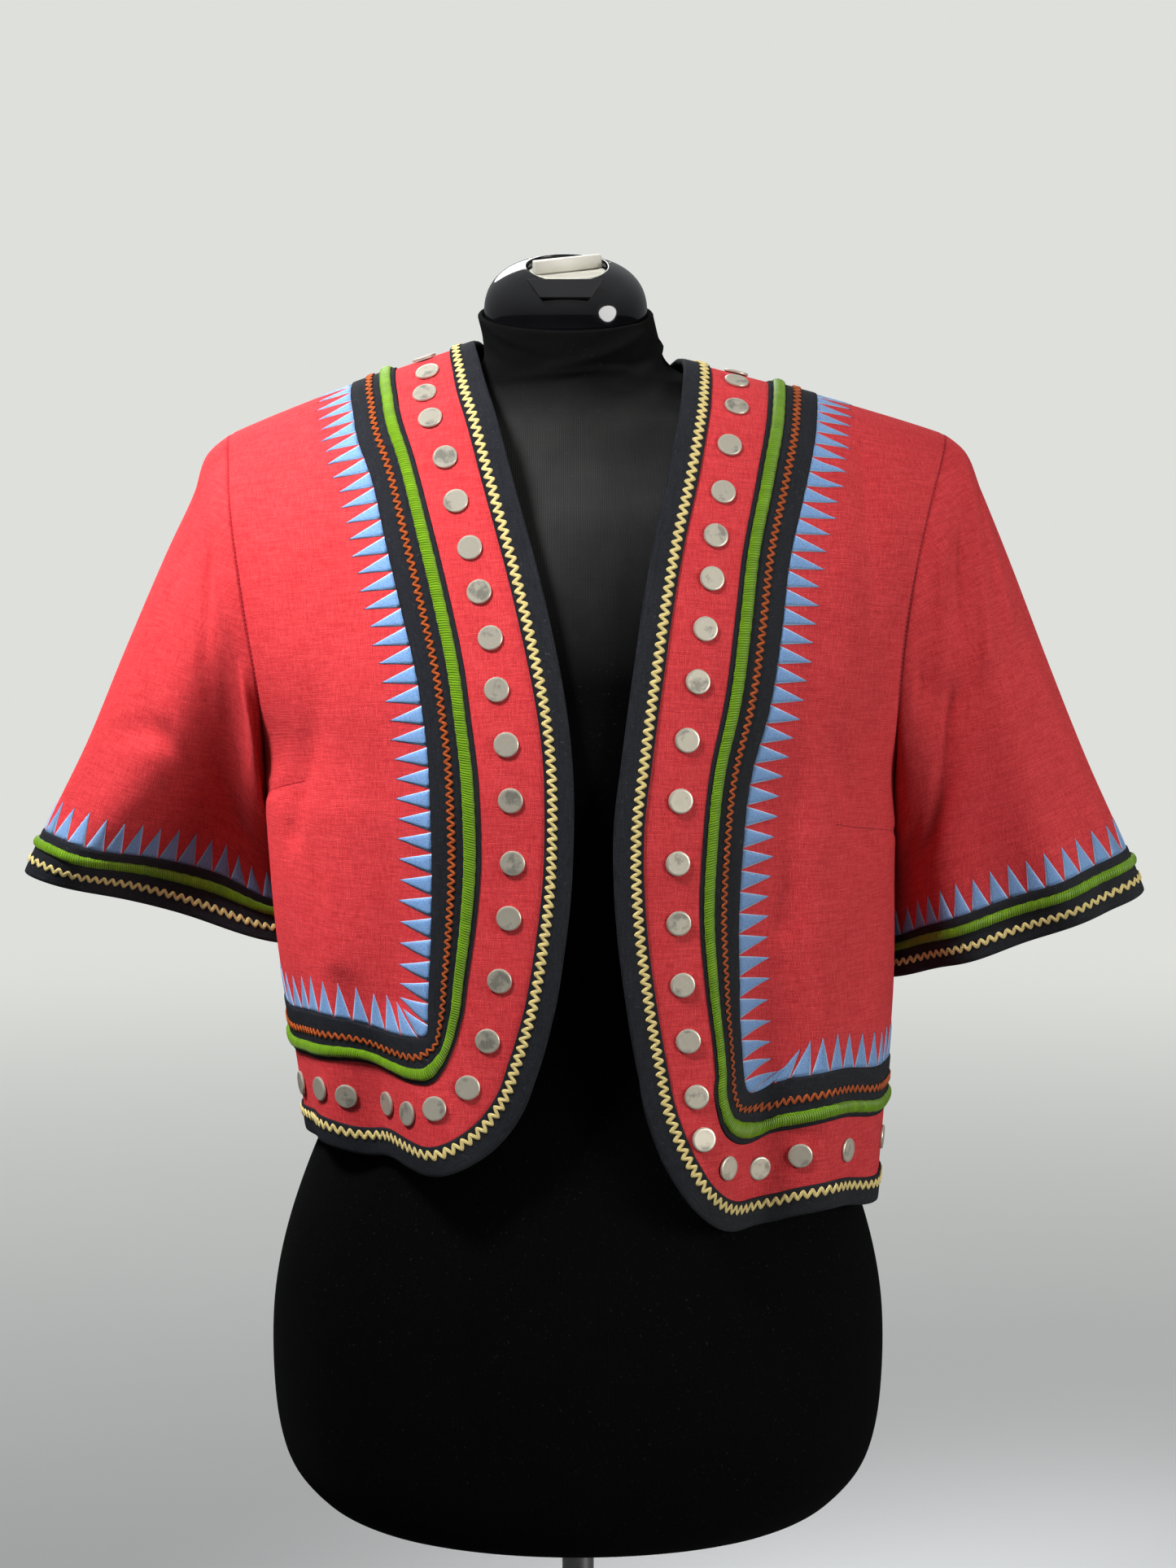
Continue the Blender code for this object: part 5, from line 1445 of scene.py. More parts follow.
def ricrac_piece(strip, kind, middle, wide, notch, pitch, finish):
    """A wavy braid along a strip. wide is over its crests, notch the depth of each dip."""
    length = strip.length(middle)
    waves = max(1, round(length / pitch))
    phase = np.linspace(0.0, waves * math.pi, waves * WAVE_STEPS + 1)
    runs = np.linspace(0.0, length, len(phase))
    shares = strip.share(runs, middle)
    high = wide / 2 - notch * (1 - np.abs(np.cos(phase)) ** 0.9)
    low = -wide / 2 + notch * (1 - np.abs(np.sin(phase)) ** 0.9)
    across = np.linspace(0.0, 1.0, BRAID_ROWS)
    offset = low[:, None] * (1 - across) + high[:, None] * across
    lift = BRAID_LIFT + BRAID_CROWN * (1 - (2 * across - 1) ** 4)
    laid = strip.lay(shares[:, None], middle - offset, lift[None, :])
    grids = [(*laid, pairs(runs[:, None], across[None, :]))]
    cloth_piece(f"{strip.name}_{kind}", grids, finish, BRAID_WALL)
    print(strip.name, waves, "waves, braid", round(length * WAVED_LENGTH, 3), "m long")


# %% Ricrac on the bands
# distance in of its middle, width over its crests, depth of each dip, length of a wave, finish
for strip in BODY_STRIPS:
    ricrac_piece(strip, "edge_cream_ricrac", CREAM_MIDDLE, 0.0062, 0.0034, 0.0054, cream)
    ricrac_piece(strip, "inner_rust_ricrac", RUST_MIDDLE, 0.0056, 0.0033, 0.0046, rust)
for strip in sleeve_strips.values():
    ricrac_piece(strip, "cream_ricrac", SLEEVE_CREAM_MIDDLE, 0.0060, 0.0032, 0.0054, cream)

# %% [markdown]
# ## Green cord
# The cord is a soft round filler held down by close satin stitches, so its cross-section is half an
# oval and its sides bulge a little between stitches.


# %% Cord pieces
CORD_LIFT, CORD_CROWN = 0.0015, 0.0022
CORD_WALL = 0.0008
CORD_ROWS = 11
CORD_STEP = 0.0022
CORD_WANDER = 0.00010   # how far its sides bulge
JOIN_REACH = 0.02       # beside the join of a closed cord, where the bulges fade
ARC_LENGTH = 1.2        # length over the crown for each metre of width


def cord_piece(strip, kind, inner, outer):
    """A raised satin cord along a strip."""
    middle, half = (inner + outer) / 2, (outer - inner) / 2
    length = strip.length(middle)
    runs = np.linspace(0.0, length, round(length / CORD_STEP) + 1)
    shares = strip.share(runs, middle)
    turn = np.linspace(0.0, math.pi, CORD_ROWS)
    wander = CORD_WANDER * (np.sin(runs * 900.0) + np.sin(runs * 2130.0 + 1.0))
    if strip.closed:
        wander = wander * ease(runs / JOIN_REACH) * ease((length - runs) / JOIN_REACH)
    inward = middle + (half + wander[:, None]) * np.cos(turn)[None, ::-1]
    laid = strip.lay(shares[:, None], inward, (CORD_LIFT + CORD_CROWN * np.sin(turn))[None, :])
    arc = turn / math.pi * (outer - inner) * ARC_LENGTH
    grids = [(*laid, pairs(runs[:, None], arc[None, :]))]
    cloth_piece(f"{strip.name}_{kind}", grids, satin, CORD_WALL)


for strip in BODY_STRIPS:
    cord_piece(strip, "inner_green_cord", *GREEN)
for strip in sleeve_strips.values():
    cord_piece(strip, "green_cord", *SLEEVE_GREEN)

# %% [markdown]
# ## Embroidered teeth
# A row of long triangles stands on the inner band and points away from it. Each tooth is a small
# padded grid that narrows to its tip. The direction that a tooth points in is averaged over the
# stretch around it, so the row opens into a fan at a corner as the stitcher's template does.

# %% Teeth sizes
TOOTH_BASE = INNER_BAND[1] + 0.0001
SLEEVE_TOOTH_BASE = SLEEVE_BAND[1] + 0.0001
TOOTH_LONG = 0.0212
TOOTH_GAP = 0.0005
TOOTH_ROWS, TOOTH_COLUMNS = 10, 4
FAN_REACH = 0.024
TOOTH_VARIES = 0.035    # share of the length by which the teeth differ
TOOTH_THIN = 0.2        # share of the length over which the padding thins out to the tip
FLOSS_LIFT = 0.0002
FLOSS = 0.0004          # how far the padding stands off the linen
FLOSS_WALL = 0.0003
FAN_STEP = 0.001


def tooth_directions(strip, base):
    """Runs along the base line, its flat places, and the averaged direction of the teeth."""
    length = strip.length(base)
    runs = np.linspace(0.0, length, round(length / FAN_STEP) + 1)
    shares = strip.share(runs, base)
    line = strip.flat(shares, base)
    away = unit(line - strip.flat(shares, base - 2 * FAN_STEP))
    reach = round(FAN_REACH / FAN_STEP)
    if strip.closed:
        padded = np.concatenate([away[-reach - 1:-1], away, away[1:reach + 1]])
    else:
        padded = np.concatenate([away[:1].repeat(reach, 0), away, away[-1:].repeat(reach, 0)])
    summed = np.cumsum(np.concatenate([np.zeros((1, 2)), padded]), axis=0)
    return runs, line, unit(summed[2 * reach + 1:] - summed[:-2 * reach - 1])


def tooth_edges(length, first, last, change):
    """Runs where teeth start and end, with a pitch that changes along the strip."""
    edges = [0.0]
    while edges[-1] < length:
        edges.append(edges[-1] + first + (last - first) * float(ease(edges[-1] / change)))
    return np.array(edges) * length / edges[-1]


def read_line(at, runs, values):
    """Pairs read along a line, at any lengths run."""
    return np.stack([np.interp(at, runs, values[:, k]) for k in range(2)], axis=-1)


def teeth_piece(strip, base, pitches, scale=(1.0, 1.0)):
    """All the teeth of one strip in one mesh. scale turns flat places into metres."""
    runs, line, away = tooth_directions(strip, base)
    edges = tooth_edges(runs[-1], *pitches)
    across = np.linspace(0.0, 1.0, TOOTH_COLUMNS + 1)[None, :, None]
    upward = (np.linspace(0.0, 1.0, TOOTH_ROWS + 1) ** 0.9)[:, None, None]
    bm = bmesh.new()
    scale = np.array(scale)
    for number, (start, end) in enumerate(zip(edges, edges[1:], strict=False)):
        start, end = start + TOOTH_GAP / 2, end - TOOTH_GAP / 2
        foot = read_line(start + (end - start) * across[0, :, 0], runs, line)
        middle = (start + end) / 2
        point = read_line(middle, runs, line)
        way = unit(read_line(middle, runs, away) * scale) / scale
        long = TOOTH_LONG * (1.0 + TOOTH_VARIES * math.sin(number * 2.4))
        flat = foot[None] * (1 - upward) + (point + way * long) * upward
        raised = (1 - (2 * across - 1) ** 4) * ease((1 - upward) / TOOTH_THIN)
        places, normals = strip.lay_flat(flat, (FLOSS_LIFT + FLOSS * raised)[..., 0])
        tooth = pairs(across[..., 0], upward[..., 0])
        fill_grid(bm, places, normals, cut=flat * scale, tooth=tooth)
    bmesh.ops.remove_doubles(bm, verts=bm.verts, dist=MERGE)
    piece = new_piece(f"{strip.name}_teeth", bm, embroidery, extra=True)
    give_wall(piece, FLOSS_WALL)
    print(piece.name, len(edges) - 1, "teeth,", len(piece.data.polygons), "faces")


# %% Teeth on the body and the sleeves
# first pitch, last pitch, run over which it changes
FRONT_PITCHES = (0.0098, 0.0124, 0.36)
teeth_piece(right_strip, TOOTH_BASE, FRONT_PITCHES)
teeth_piece(left_strip, TOOTH_BASE, FRONT_PITCHES)
teeth_piece(hem_strip, TOOTH_BASE, (0.0124, 0.0124, 1.0))
teeth_piece(neck_strip, TOOTH_BASE, (0.0104, 0.0104, 1.0))
for side, strip in sleeve_strips.items():
    metres = (sleeves[side].girth(1.0), 1.0)
    teeth_piece(strip, SLEEVE_TOOTH_BASE, (0.0118, 0.0118, 1.0), metres)

# %% [markdown]
# ## Studs
# One stud is a profile spun round its axis, with a flat top and a rolled rim. Copies of it are set
# along the red gap between the bands, square to the cloth at each place. They are closer together
# near the shoulder and round the corner, and each sits a degree or two out of true.

# %% One stud
# radius, height
STUD_PROFILE = (
    (0.0000, 0.00150),
    (0.0030, 0.00148),
    (0.0054, 0.00146),
    (0.0062, 0.00150),
    (0.0067, 0.00138),
    (0.0070, 0.00105),
    (0.0071, 0.00060),
    (0.0069, 0.00000),
)
STUD_STEPS = 28
STUD_SIT = 0.0002
STUD_LEAN = 0.02        # how far out of true they sit, in radians
RIM_START = 0.0060


def spin_profile(bm, profile, steps):
    """Spin (radius, height) pairs round the Z axis into a closed surface."""
    verts = [bm.verts.new((radius, 0.0, height)) for radius, height in profile]
    edges = [bm.edges.new(pair) for pair in zip(verts, verts[1:], strict=False)]
    bmesh.ops.spin(
        bm, geom=verts + edges, cent=(0, 0, 0), axis=(0, 0, 1), dvec=(0, 0, 0),
        angle=2 * math.pi, steps=steps, use_merge=True, use_duplicate=False,
    )
    bmesh.ops.remove_doubles(bm, verts=bm.verts, dist=1e-6)
    bmesh.ops.recalc_face_normals(bm, faces=bm.faces)


bm = bmesh.new()
spin_profile(bm, STUD_PROFILE, STUD_STEPS)
rim_layer = bm.verts.layers.float.new("rim")
for vert in bm.verts:
    vert[rim_layer] = 1.0 if math.hypot(vert.co.x, vert.co.y) > RIM_START else 0.0
stud = bpy.data.meshes.new("stud")
bm.to_mesh(stud)
bm.free()
print("stud faces", len(stud.polygons))

# %% Where the studs sit, as lengths run along the line between the bands
# run, distance in from the edge: most sit on the middle line, some a little off it
FRONT_STUDS = {
    RIGHT: (
        (0.012, 0.034), (0.037, 0.032), (0.056, 0.036), (0.078, 0.0365), (0.107, 0.0345),
        (0.135, 0.035), (0.164, 0.034), (0.190, 0.035), (0.217, 0.0345), (0.246, 0.0365),
        (0.277, 0.0355), (0.308, 0.0355), (0.343, 0.0345), (0.374, 0.034), (0.410, 0.034),
        (0.445, 0.0335), (0.474, 0.0345), (0.497, 0.038), (0.519, 0.033), (0.541, 0.032),
        (0.571, 0.033), (0.591, 0.034), (0.632, 0.031),
    ),
    LEFT: (
        (0.005, 0.034), (0.029, 0.0325), (0.056, 0.033), (0.088, 0.032), (0.118, 0.0335),
        (0.145, 0.0345), (0.170, 0.0365), (0.199, 0.0365), (0.229, 0.036), (0.262, 0.0355),
        (0.296, 0.037), (0.331, 0.038), (0.365, 0.0385), (0.400, 0.037), (0.432, 0.035),
        (0.464, 0.0365), (0.488, 0.031), (0.513, 0.0335), (0.543, 0.0335), (0.567, 0.036),
        (0.604, 0.033), (0.659, 0.035),
    ),
}
HEM_STUDS, NECK_STUDS = 14, 6
studs_random = np.random.default_rng(11)


def set_studs(strip, places):
    """Studs square to the cloth, at lengths run and distances in."""
    bm = bmesh.new()
    step = 0.004
    for run, inward in places:
        share = strip.share(run, STUD_LINE)
        sides = strip.share(np.array([run - step, run + step]), STUD_LINE)
        middle, normal = (part[()] for part in strip.lay(share, inward, 0.0))
        ends = strip.lay(sides, inward, 0.0)[0]
        edges = strip.lay(share, inward + np.array([-step, step]), 0.0)[0]
        level = (ends.mean(axis=0) + edges.mean(axis=0)) / 2
        out = unit(np.cross(ends[1] - ends[0], edges[1] - edges[0]))
        out = out * np.sign(np.dot(out, normal))
        out = unit(out + studs_random.normal(0.0, STUD_LEAN, 3))
        seat = max(0.0, float(np.dot(middle - level, out)), float(np.dot(level - middle, out)))
        turn = Vector(out).to_track_quat("Z", "Y").to_matrix().to_4x4()
        place = Matrix.Translation(Vector(middle + out * (STUD_SIT + seat)))
        spin = Matrix.Rotation(studs_random.uniform(0.0, math.tau), 4, "Z")
        before = len(bm.verts)
        bm.from_mesh(stud)
        bm.verts.ensure_lookup_table()
        bmesh.ops.transform(bm, matrix=place @ turn @ spin, verts=bm.verts[before:])
    piece = new_piece(f"{strip.name}_studs", bm, nickel, sharp=50, extra=True)
    print(piece.name, len(places), "studs")


for side, strip in ((RIGHT, right_strip), (LEFT, left_strip)):
    set_studs(strip, FRONT_STUDS[side])
for strip, count, free in ((hem_strip, HEM_STUDS, 0.016), (neck_strip, NECK_STUDS, 0.024)):
    runs = np.linspace(free, strip.length(STUD_LINE) - free, count)
    set_studs(strip, [(run, STUD_LINE) for run in runs])

# %% [markdown]
# ## Seams and darts
# The armhole, side and shoulder seams pull the cloth down into a groove, and a thread shows at the
# bottom. The thread is coloured darker than the linen, partly as painted shade of the groove. Each
# front has one short bust dart from the armhole.

# %% Seam lines
SEAM_WIDE = 0.0010
THREAD_LIFT = 0.00006
DART_HALF = 0.0004
DARTS = {RIGHT: ((0.2470, 0.208), (0.176, 0.222)), LEFT: ((0.2505, 0.223), (0.158, 0.234))}


def along_seam(first, second, depth=0.0003):
    """A thread between two laid edges: one row on each piece and one down in the groove."""
    (first_places, first_normals), (second_places, second_normals) = first, second
    out = unit(first_normals + second_normals)
    groove = (first_places + second_places) / 2 - out * depth
    places = np.stack([first_places, groove, second_places], axis=1)
    cut = pairs(runs_along(groove)[:, None], np.array([[0.0, 0.5, 1.0]]) * SEAM_WIDE)
    return places, np.repeat(out[:, None], 3, axis=1), cut


def side_seams(side):
    """The armhole, shoulder and side seams of one side."""
    front, back, sleeve = fronts[side], backs[side], sleeves[side]
    inset = SEAM_WIDE * 0.4
    share = np.linspace(0.0, 1.0, 120)
    lines = []
    for draft, along in ((front, 0.5 * share), (back, 1.0 - 0.5 * share)):
        ups = draft.top - 0.0006 + (draft.armpit - draft.top) * share
        body = draft.lay(draft.reach(ups) - inset, ups, THREAD_LIFT)
        head = sleeve.lay(along, inset / sleeve.length_at(along), THREAD_LIFT)
        lines.append(along_seam(body, head))
    across = np.linspace(INNER_BAND[1] + 0.066, float(front.reach(front.top)) - 0.001, 60)
    tops = [(draft, np.full(60, draft.top - inset)) for draft in (front, back)]
    lines.append(along_seam(*(draft.lay(across, up, THREAD_LIFT) for draft, up in tops)))
    ups = np.linspace(INNER_BAND[1] + 0.001, front.armpit, 60)
    behind = other_up(front, back, ups)
    side_front = front.lay(front.reach(ups) - inset, ups, THREAD_LIFT)
    lines.append(along_seam(side_front, back.lay(back.reach(behind) - inset, behind, THREAD_LIFT)))
    line = np.linspace(*DARTS[side], 30)
    edges = [
        front.lay(line[:, 0], line[:, 1] + step, THREAD_LIFT) for step in (-DART_HALF, DART_HALF)
    ]
    lines.append(along_seam(*edges, depth=-0.0002))
    return lines


for side, name in ((RIGHT, "right"), (LEFT, "left")):
    bm = bmesh.new()
    for places, normals, cut in side_seams(side):
        fill_grid(bm, places, normals, cut=cut)
    new_piece(f"seams_{name}", bm, shaded_seam_red, extra=True)

# %% [markdown]
# ## Dress form
# The padded body is lofted through outlines from the underside up to the mock neck. Its cover is
# gathered a little at the neck, with soft drag folds, and its top edge is a rolled rim round the
# cap. The pieces above the neck are made in the neck's own tilted frame.

# %% Form sizes
# height, half width, depth in front, depth behind, x of the middle, forward tilt in degrees
FORM_SECTIONS = (
    (0.023, 0.120, 0.082, 0.085, 0.000, 0),
    (0.027, 0.137, 0.095, 0.098, 0.000, 0),
    (0.037, 0.154, 0.105, 0.110, 0.000, 0),
    (0.057, 0.171, 0.112, 0.119, 0.000, 0),
    (0.085, 0.1795, 0.116, 0.122, 0.000, 0),
    (0.125, 0.1825, 0.116, 0.122, 0.000, 0),
    (0.165, 0.1805, 0.113, 0.117, 0.000, 0),
    (0.205, 0.1720, 0.108, 0.110, 0.000, 0),
    (0.250, 0.1560, 0.101, 0.102, 0.000, 0),
    (0.300, 0.1330, 0.094, 0.090, 0.000, 0),
    (0.345, 0.1200, 0.090, 0.081, 0.000, 0),
    (0.390, 0.1240, 0.094, 0.080, 0.000, 0),
    (0.435, 0.1370, 0.108, 0.086, 0.000, 0),
    (0.480, 0.1470, 0.118, 0.091, 0.000, 0),
    (0.525, 0.1520, 0.115, 0.094, 0.000, 0),
    (0.570, 0.1600, 0.101, 0.092, 0.000, 0),
    (0.610, 0.1690, 0.085, 0.082, 0.000, 0),
    (0.640, 0.1755, 0.065, 0.067, 0.000, 0),
    (0.661, 0.1775, 0.051, 0.055, 0.000, 0),
    (0.6755, 0.1700, 0.039, 0.045, 0.000, 0),
    (0.6795, 0.1570, 0.035, 0.043, 0.000, 0),
    (0.6847, 0.1350, 0.033, 0.043, 0.000, 0),
    (0.6955, 0.0970, 0.035, 0.043, 0.000, 0),
    (0.7025, 0.0670, 0.042, 0.045, -0.001, 2),
    (0.7120, 0.0535, 0.045, 0.046, -0.002, 6),
    (0.7250, 0.0512, 0.046, 0.046, -0.004, 11),
    (0.7380, 0.0510, 0.047, 0.045, -0.007, 14),
)
# The rolled rim above the last outline: in from it, and up from it
RIM_ROLL = (
    (0.0000, 0.0006), (0.0006, 0.0014), (0.0014, 0.0017), (0.0022, 0.0013), (0.0028, 0.0004),
    (0.0032, -0.0010),
)
FORM_ROUND, FORM_UP = 140, 170
KNIT_RADIUS, NECK_RADIUS = 0.15, 0.052      # for lengths round the body and the neck
FORM_MIDDLE = (0.0, 0.0, 0.75)
CHEST_START, CHEST_SOFT = 0.61, 0.03
# Depth of the front's own middle, where the chest runs up into the neck: height, depth
CHEST_LINE = (
    (0.600, 0.0895), (0.6263, 0.0726), (0.6471, 0.0592), (0.660, 0.0538), (0.672, 0.0504),
    (0.685, 0.0479), (0.700, 0.0462), (0.712, 0.0457), (0.725, 0.0460), (0.738, 0.0470),
)

# Drag folds of the cover at the neck: turn, height, turn, height, width, height of the fold
# Turn is in degrees round the form: 0 is the left side, 90 the back, 270 the front.
NECK_FOLDS = (
    (326, 0.734, 256, 0.712, 0.0038, 0.0026, 0.0012),
    (338, 0.727, 268, 0.704, 0.0040, -0.0024, -0.0010),
    (350, 0.722, 284, 0.696, 0.0040, 0.0028, 0.0014),
    (356, 0.712, 300, 0.690, 0.0045, -0.0020, -0.0010),
    (300, 0.712, 236, 0.704, 0.0040, 0.0018, 0.0008),
    (216, 0.734, 262, 0.724, 0.0040, 0.0012, 0.0003),
    (205, 0.720, 250, 0.700, 0.0050, -0.0012, -0.0004),
    (196, 0.712, 235, 0.694, 0.0055, 0.0012, 0.0003),
    (60, 0.730, 110, 0.712, 0.0050, 0.0013, 0.0005),
    (140, 0.728, 100, 0.706, 0.0050, -0.0013, -0.0004),
    (80, 0.712, 130, 0.700, 0.0055, 0.0012, 0.0005),
)


# %% Padded body and its cover
def form_row(level, turns):
    """One outline of the form, at a place along the table, with room for the neck's folds."""
    stations = np.arange(len(FORM_SECTIONS))
    height, width, front, back, middle, tilt = (
        smooth(stations, column(FORM_SECTIONS, k), level) for k in range(6)
    )
    depth = np.where(np.sin(turns) > 0, back, front)
    total = np.zeros_like(turns)
    for turn0, up0, turn1, up1, wide, low, high in NECK_FOLDS:
        around = (math.radians(turn) * NECK_RADIUS for turn in (turn0, turn1))
        ends = tuple(zip(around, (up0, up1), strict=True))
        total = total + crease(turns * NECK_RADIUS, height, ends, wide, (low, high))
    chest = smooth(column(CHEST_LINE, 0), column(CHEST_LINE, 1), height)
    fuller = np.maximum(chest - front, 0.0) * ease((height - CHEST_START) / CHEST_SOFT)
    total = total + fuller * np.maximum(-np.sin(turns), 0.0) ** 8
    x = middle + (width + total) * np.cos(turns)
    y = (depth + total) * np.sin(turns)
    z = DATUM + height + y * np.tan(np.radians(tilt))
    return np.stack([x, y, z], axis=-1)


def make_form():
    """The cover from its middle underneath, up the sides, to inside the neck's rim."""
    turns = np.linspace(0.0, 2 * math.pi, FORM_ROUND + 1)
    bottom = form_row(0.0, turns)
    centre = bottom.mean(axis=0) * (0, 0, 1)
    rows = [centre + (bottom - centre) * share for share in (0.0, 0.3, 0.6, 0.85)]
    levels = np.linspace(0.0, len(FORM_SECTIONS) - 1, FORM_UP + 1)
    rows += [form_row(level, turns) for level in levels]
    top = rows[-1]
    middle = top[:-1].mean(axis=0)
    for inward, rise in RIM_ROLL:
        rows.append(top + unit(middle - top) * inward + np.array([0.0, 0.0, rise]))
    rows += [middle + (rows[-1] - middle) * 0.6, middle + 0 * top]
    places = np.array(rows)
    height = runs_along(places[:, FORM_ROUND // 4])
    flat = pairs(turns[None, :] * KNIT_RADIUS, height[:, None])
    bm = merged([(places, places - np.array(FORM_MIDDLE), flat)])
    bmesh.ops.recalc_face_normals(bm, faces=bm.faces)
    piece = new_piece("form_body", bm, knit)
    print(piece.name, len(piece.data.polygons), "faces")


make_form()

# %% Neck frame
NECK_HEIGHT = 0.738
NECK_MIDDLE = -0.007
NECK_TILT = 14.0
CAP_WIDTH, CAP_DEPTH, CAP_RISE, CAP_SQUARE = 0.0475, 0.0430, 0.0340, 2.5
RECESS_FLOOR, RECESS_RADIUS = 0.0250, 0.0234
DIAL_MIDDLE = (0.001, -0.008)
DIAL_RADIUS, DIAL_THICK = 0.0226, 0.0028
BAR_SIZE, BAR_TURN, BAR_TOP = (0.0430, 0.0055, 0.0075), 28.0, 0.80
DOT_RADIUS, DOT_RING, DOT_COUNT = 0.0006, 0.0262, 11
DOT_START, DOT_STEP = 20, 14    # degrees
PLATE_AHEAD = 0.0360    # in front of the neck's middle line
PLATE_LOW, PLATE_WIDE, PLATE_HIGH, PLATE_THICK = 0.0290, 0.0440, 0.0120, 0.0018

NECK_FRAME = (
    Matrix.Translation((NECK_MIDDLE, 0.0, DATUM + NECK_HEIGHT))
    @ Matrix.Rotation(math.radians(NECK_TILT), 4, "X")
)
DIAL_FRAME = NECK_FRAME @ Matrix.Translation((*DIAL_MIDDLE, 0.0))


def dome(across, back):
    """Rise of the cap's outside."""
    share = np.minimum(np.hypot(across / CAP_WIDTH, back / CAP_DEPTH), 1.0)
    return SEAM + CAP_RISE * (1.0 - share**CAP_SQUARE) ** (1.0 / CAP_SQUARE)


# %% [markdown]
# ## Neck cap, dial and plate
# The cap is a full dome of polished plastic with a round recess for the setting dial. Ovals shrink
# up its side, then change shape into the recess's rim, and the last ones go down into the recess.

# %% Neck cap
CAP_ROUND = 96
SHOULDER_TURN = 0.6435  # where the ovals stop and the recess's rim begins
RIM_SOFT = 0.0007
# inward, drop
CAP_RIM = ((0.0004, 0.0001), (0.0006, 0.0003), (RIM_SOFT, 0.0008))


def make_cap():
    """The domed cap."""
    turns = np.linspace(0.0, 2 * math.pi, CAP_ROUND + 1)
    cosine, sine = np.cos(turns), np.sin(turns)

    def recess(radius):
        return DIAL_MIDDLE[0] + radius * cosine, DIAL_MIDDLE[1] + radius * sine

    rows = [np.stack([0 * cosine, 0 * sine, 0 * cosine + SEAM], -1)]
    for rise_share in (0.0, *(math.sin(k / 16 * SHOULDER_TURN) for k in range(17))):
        share = (1.0 - rise_share**CAP_SQUARE) ** (1.0 / CAP_SQUARE)
        height = np.full(len(turns), SEAM + CAP_RISE * rise_share)
        rows.append(np.stack([CAP_WIDTH * share * cosine, CAP_DEPTH * share * sine, height], -1))
    shoulder = rows[-1]
    rim_x, rim_y = recess(RECESS_RADIUS + RIM_SOFT)
    for blend in np.linspace(0.0, 1.0, 13)[1:]:
        x = shoulder[:, 0] * (1 - blend) + rim_x * blend
        y = shoulder[:, 1] * (1 - blend) + rim_y * blend
        rows.append(np.stack([x, y, dome(x, y)], -1))
    rim = rows[-1][:, 2]
    for inward, drop in CAP_RIM:
        rows.append(np.stack([*recess(RECESS_RADIUS + RIM_SOFT - inward), rim - drop], -1))
    floor = np.full(len(turns), RECESS_FLOOR)
    for share in (1.0, 0.97, 0.5, 0.0):
        rows.append(np.stack([*recess(RECESS_RADIUS * share), floor], -1))
    places = np.array(rows)
    bm = merged([(places, places, places[..., :2])])
    bmesh.ops.recalc_face_normals(bm, faces=bm.faces)
    bmesh.ops.transform(bm, matrix=NECK_FRAME, verts=bm.verts)
    new_piece("neck_cap", bm, gloss, sharp=40)


make_cap()


# %% Dial, bar and the dots round it
def block_piece(name, corner, edge, place, finish):
    """A block with rounded edges. corner says where each corner of a cube one long goes."""
    bm = bmesh.new()
    for vert in bmesh.ops.create_cube(bm, size=1.0)["verts"]:
        vert.co = corner(*vert.co)
    bmesh.ops.bevel(
        bm, geom=list(bm.edges), offset=edge, segments=3, profile=0.5, affect="EDGES", material=-1,
    )
    bmesh.ops.transform(bm, matrix=place, verts=bm.verts)
    new_piece(name, bm, finish, sharp=35)


bm = bmesh.new()
dial_foot = RECESS_FLOOR + SEAM
dial_top = dial_foot + DIAL_THICK
dial_profile = (
    (0.0, dial_foot),
    (DIAL_RADIUS - 0.0005, dial_foot),
    (DIAL_RADIUS, dial_foot + 0.0005),
    (DIAL_RADIUS, dial_top - 0.0008),
    (DIAL_RADIUS - 0.0003, dial_top - 0.0002),
    (DIAL_RADIUS - 0.0010, dial_top),
    (DIAL_RADIUS - 0.0026, dial_top),
    (DIAL_RADIUS - 0.0032, dial_top - 0.0004),
    (0.0, dial_top - 0.0004),
)
spin_profile(bm, dial_profile, 72)
bmesh.ops.transform(bm, matrix=DIAL_FRAME, verts=bm.verts)
new_piece("dial", bm, ivory, sharp=35)


def bar_corner(x, y, z):
    """The bar narrows towards its top."""
    narrow = BAR_TOP if z > 0 else 1.0
    return x * BAR_SIZE[0], y * BAR_SIZE[1] * narrow, (z + 0.5) * BAR_SIZE[2]


on_dial = Matrix.Translation((0, 0, dial_top + SEAM))
bar_turn = Matrix.Rotation(math.radians(BAR_TURN), 4, "Z")
bar_place = DIAL_FRAME @ (on_dial @ bar_turn)
block_piece("dial_bar", bar_corner, 0.0007, bar_place, ivory)

bm = bmesh.new()
for k in range(DOT_COUNT):
    turn = math.radians(DOT_START + DOT_STEP * k)
    x, y = DIAL_MIDDLE[0] + DOT_RING * math.cos(turn), DIAL_MIDDLE[1] + DOT_RING * math.sin(turn)
    made = bmesh.ops.create_icosphere(bm, subdivisions=2, radius=DOT_RADIUS)
    squash = Matrix.Translation((x, y, float(dome(x, y)))) @ Matrix.Diagonal((1, 1, 0.35, 1))
    bmesh.ops.transform(bm, matrix=NECK_FRAME @ squash, verts=made["verts"])
new_piece("dial_dots", bm, pale_mark, extra=True)
print("neck pieces placed")

# %% Plate
plate_step = 0.001
ahead, behind = (float(dome(0.0, -PLATE_AHEAD + step)) for step in (plate_step, -plate_step))
plate_tilt = math.atan((ahead - behind) / (2 * plate_step))
on_front = Matrix.Translation((0.0, -PLATE_AHEAD, float(dome(0.0, -PLATE_AHEAD))))


def plate_corner(x, y, z):
    """The plate is wider above."""
    wide = PLATE_WIDE if y > 0 else PLATE_LOW
    return x * wide, y * PLATE_HIGH, SEAM + (z + 0.5) * PLATE_THICK


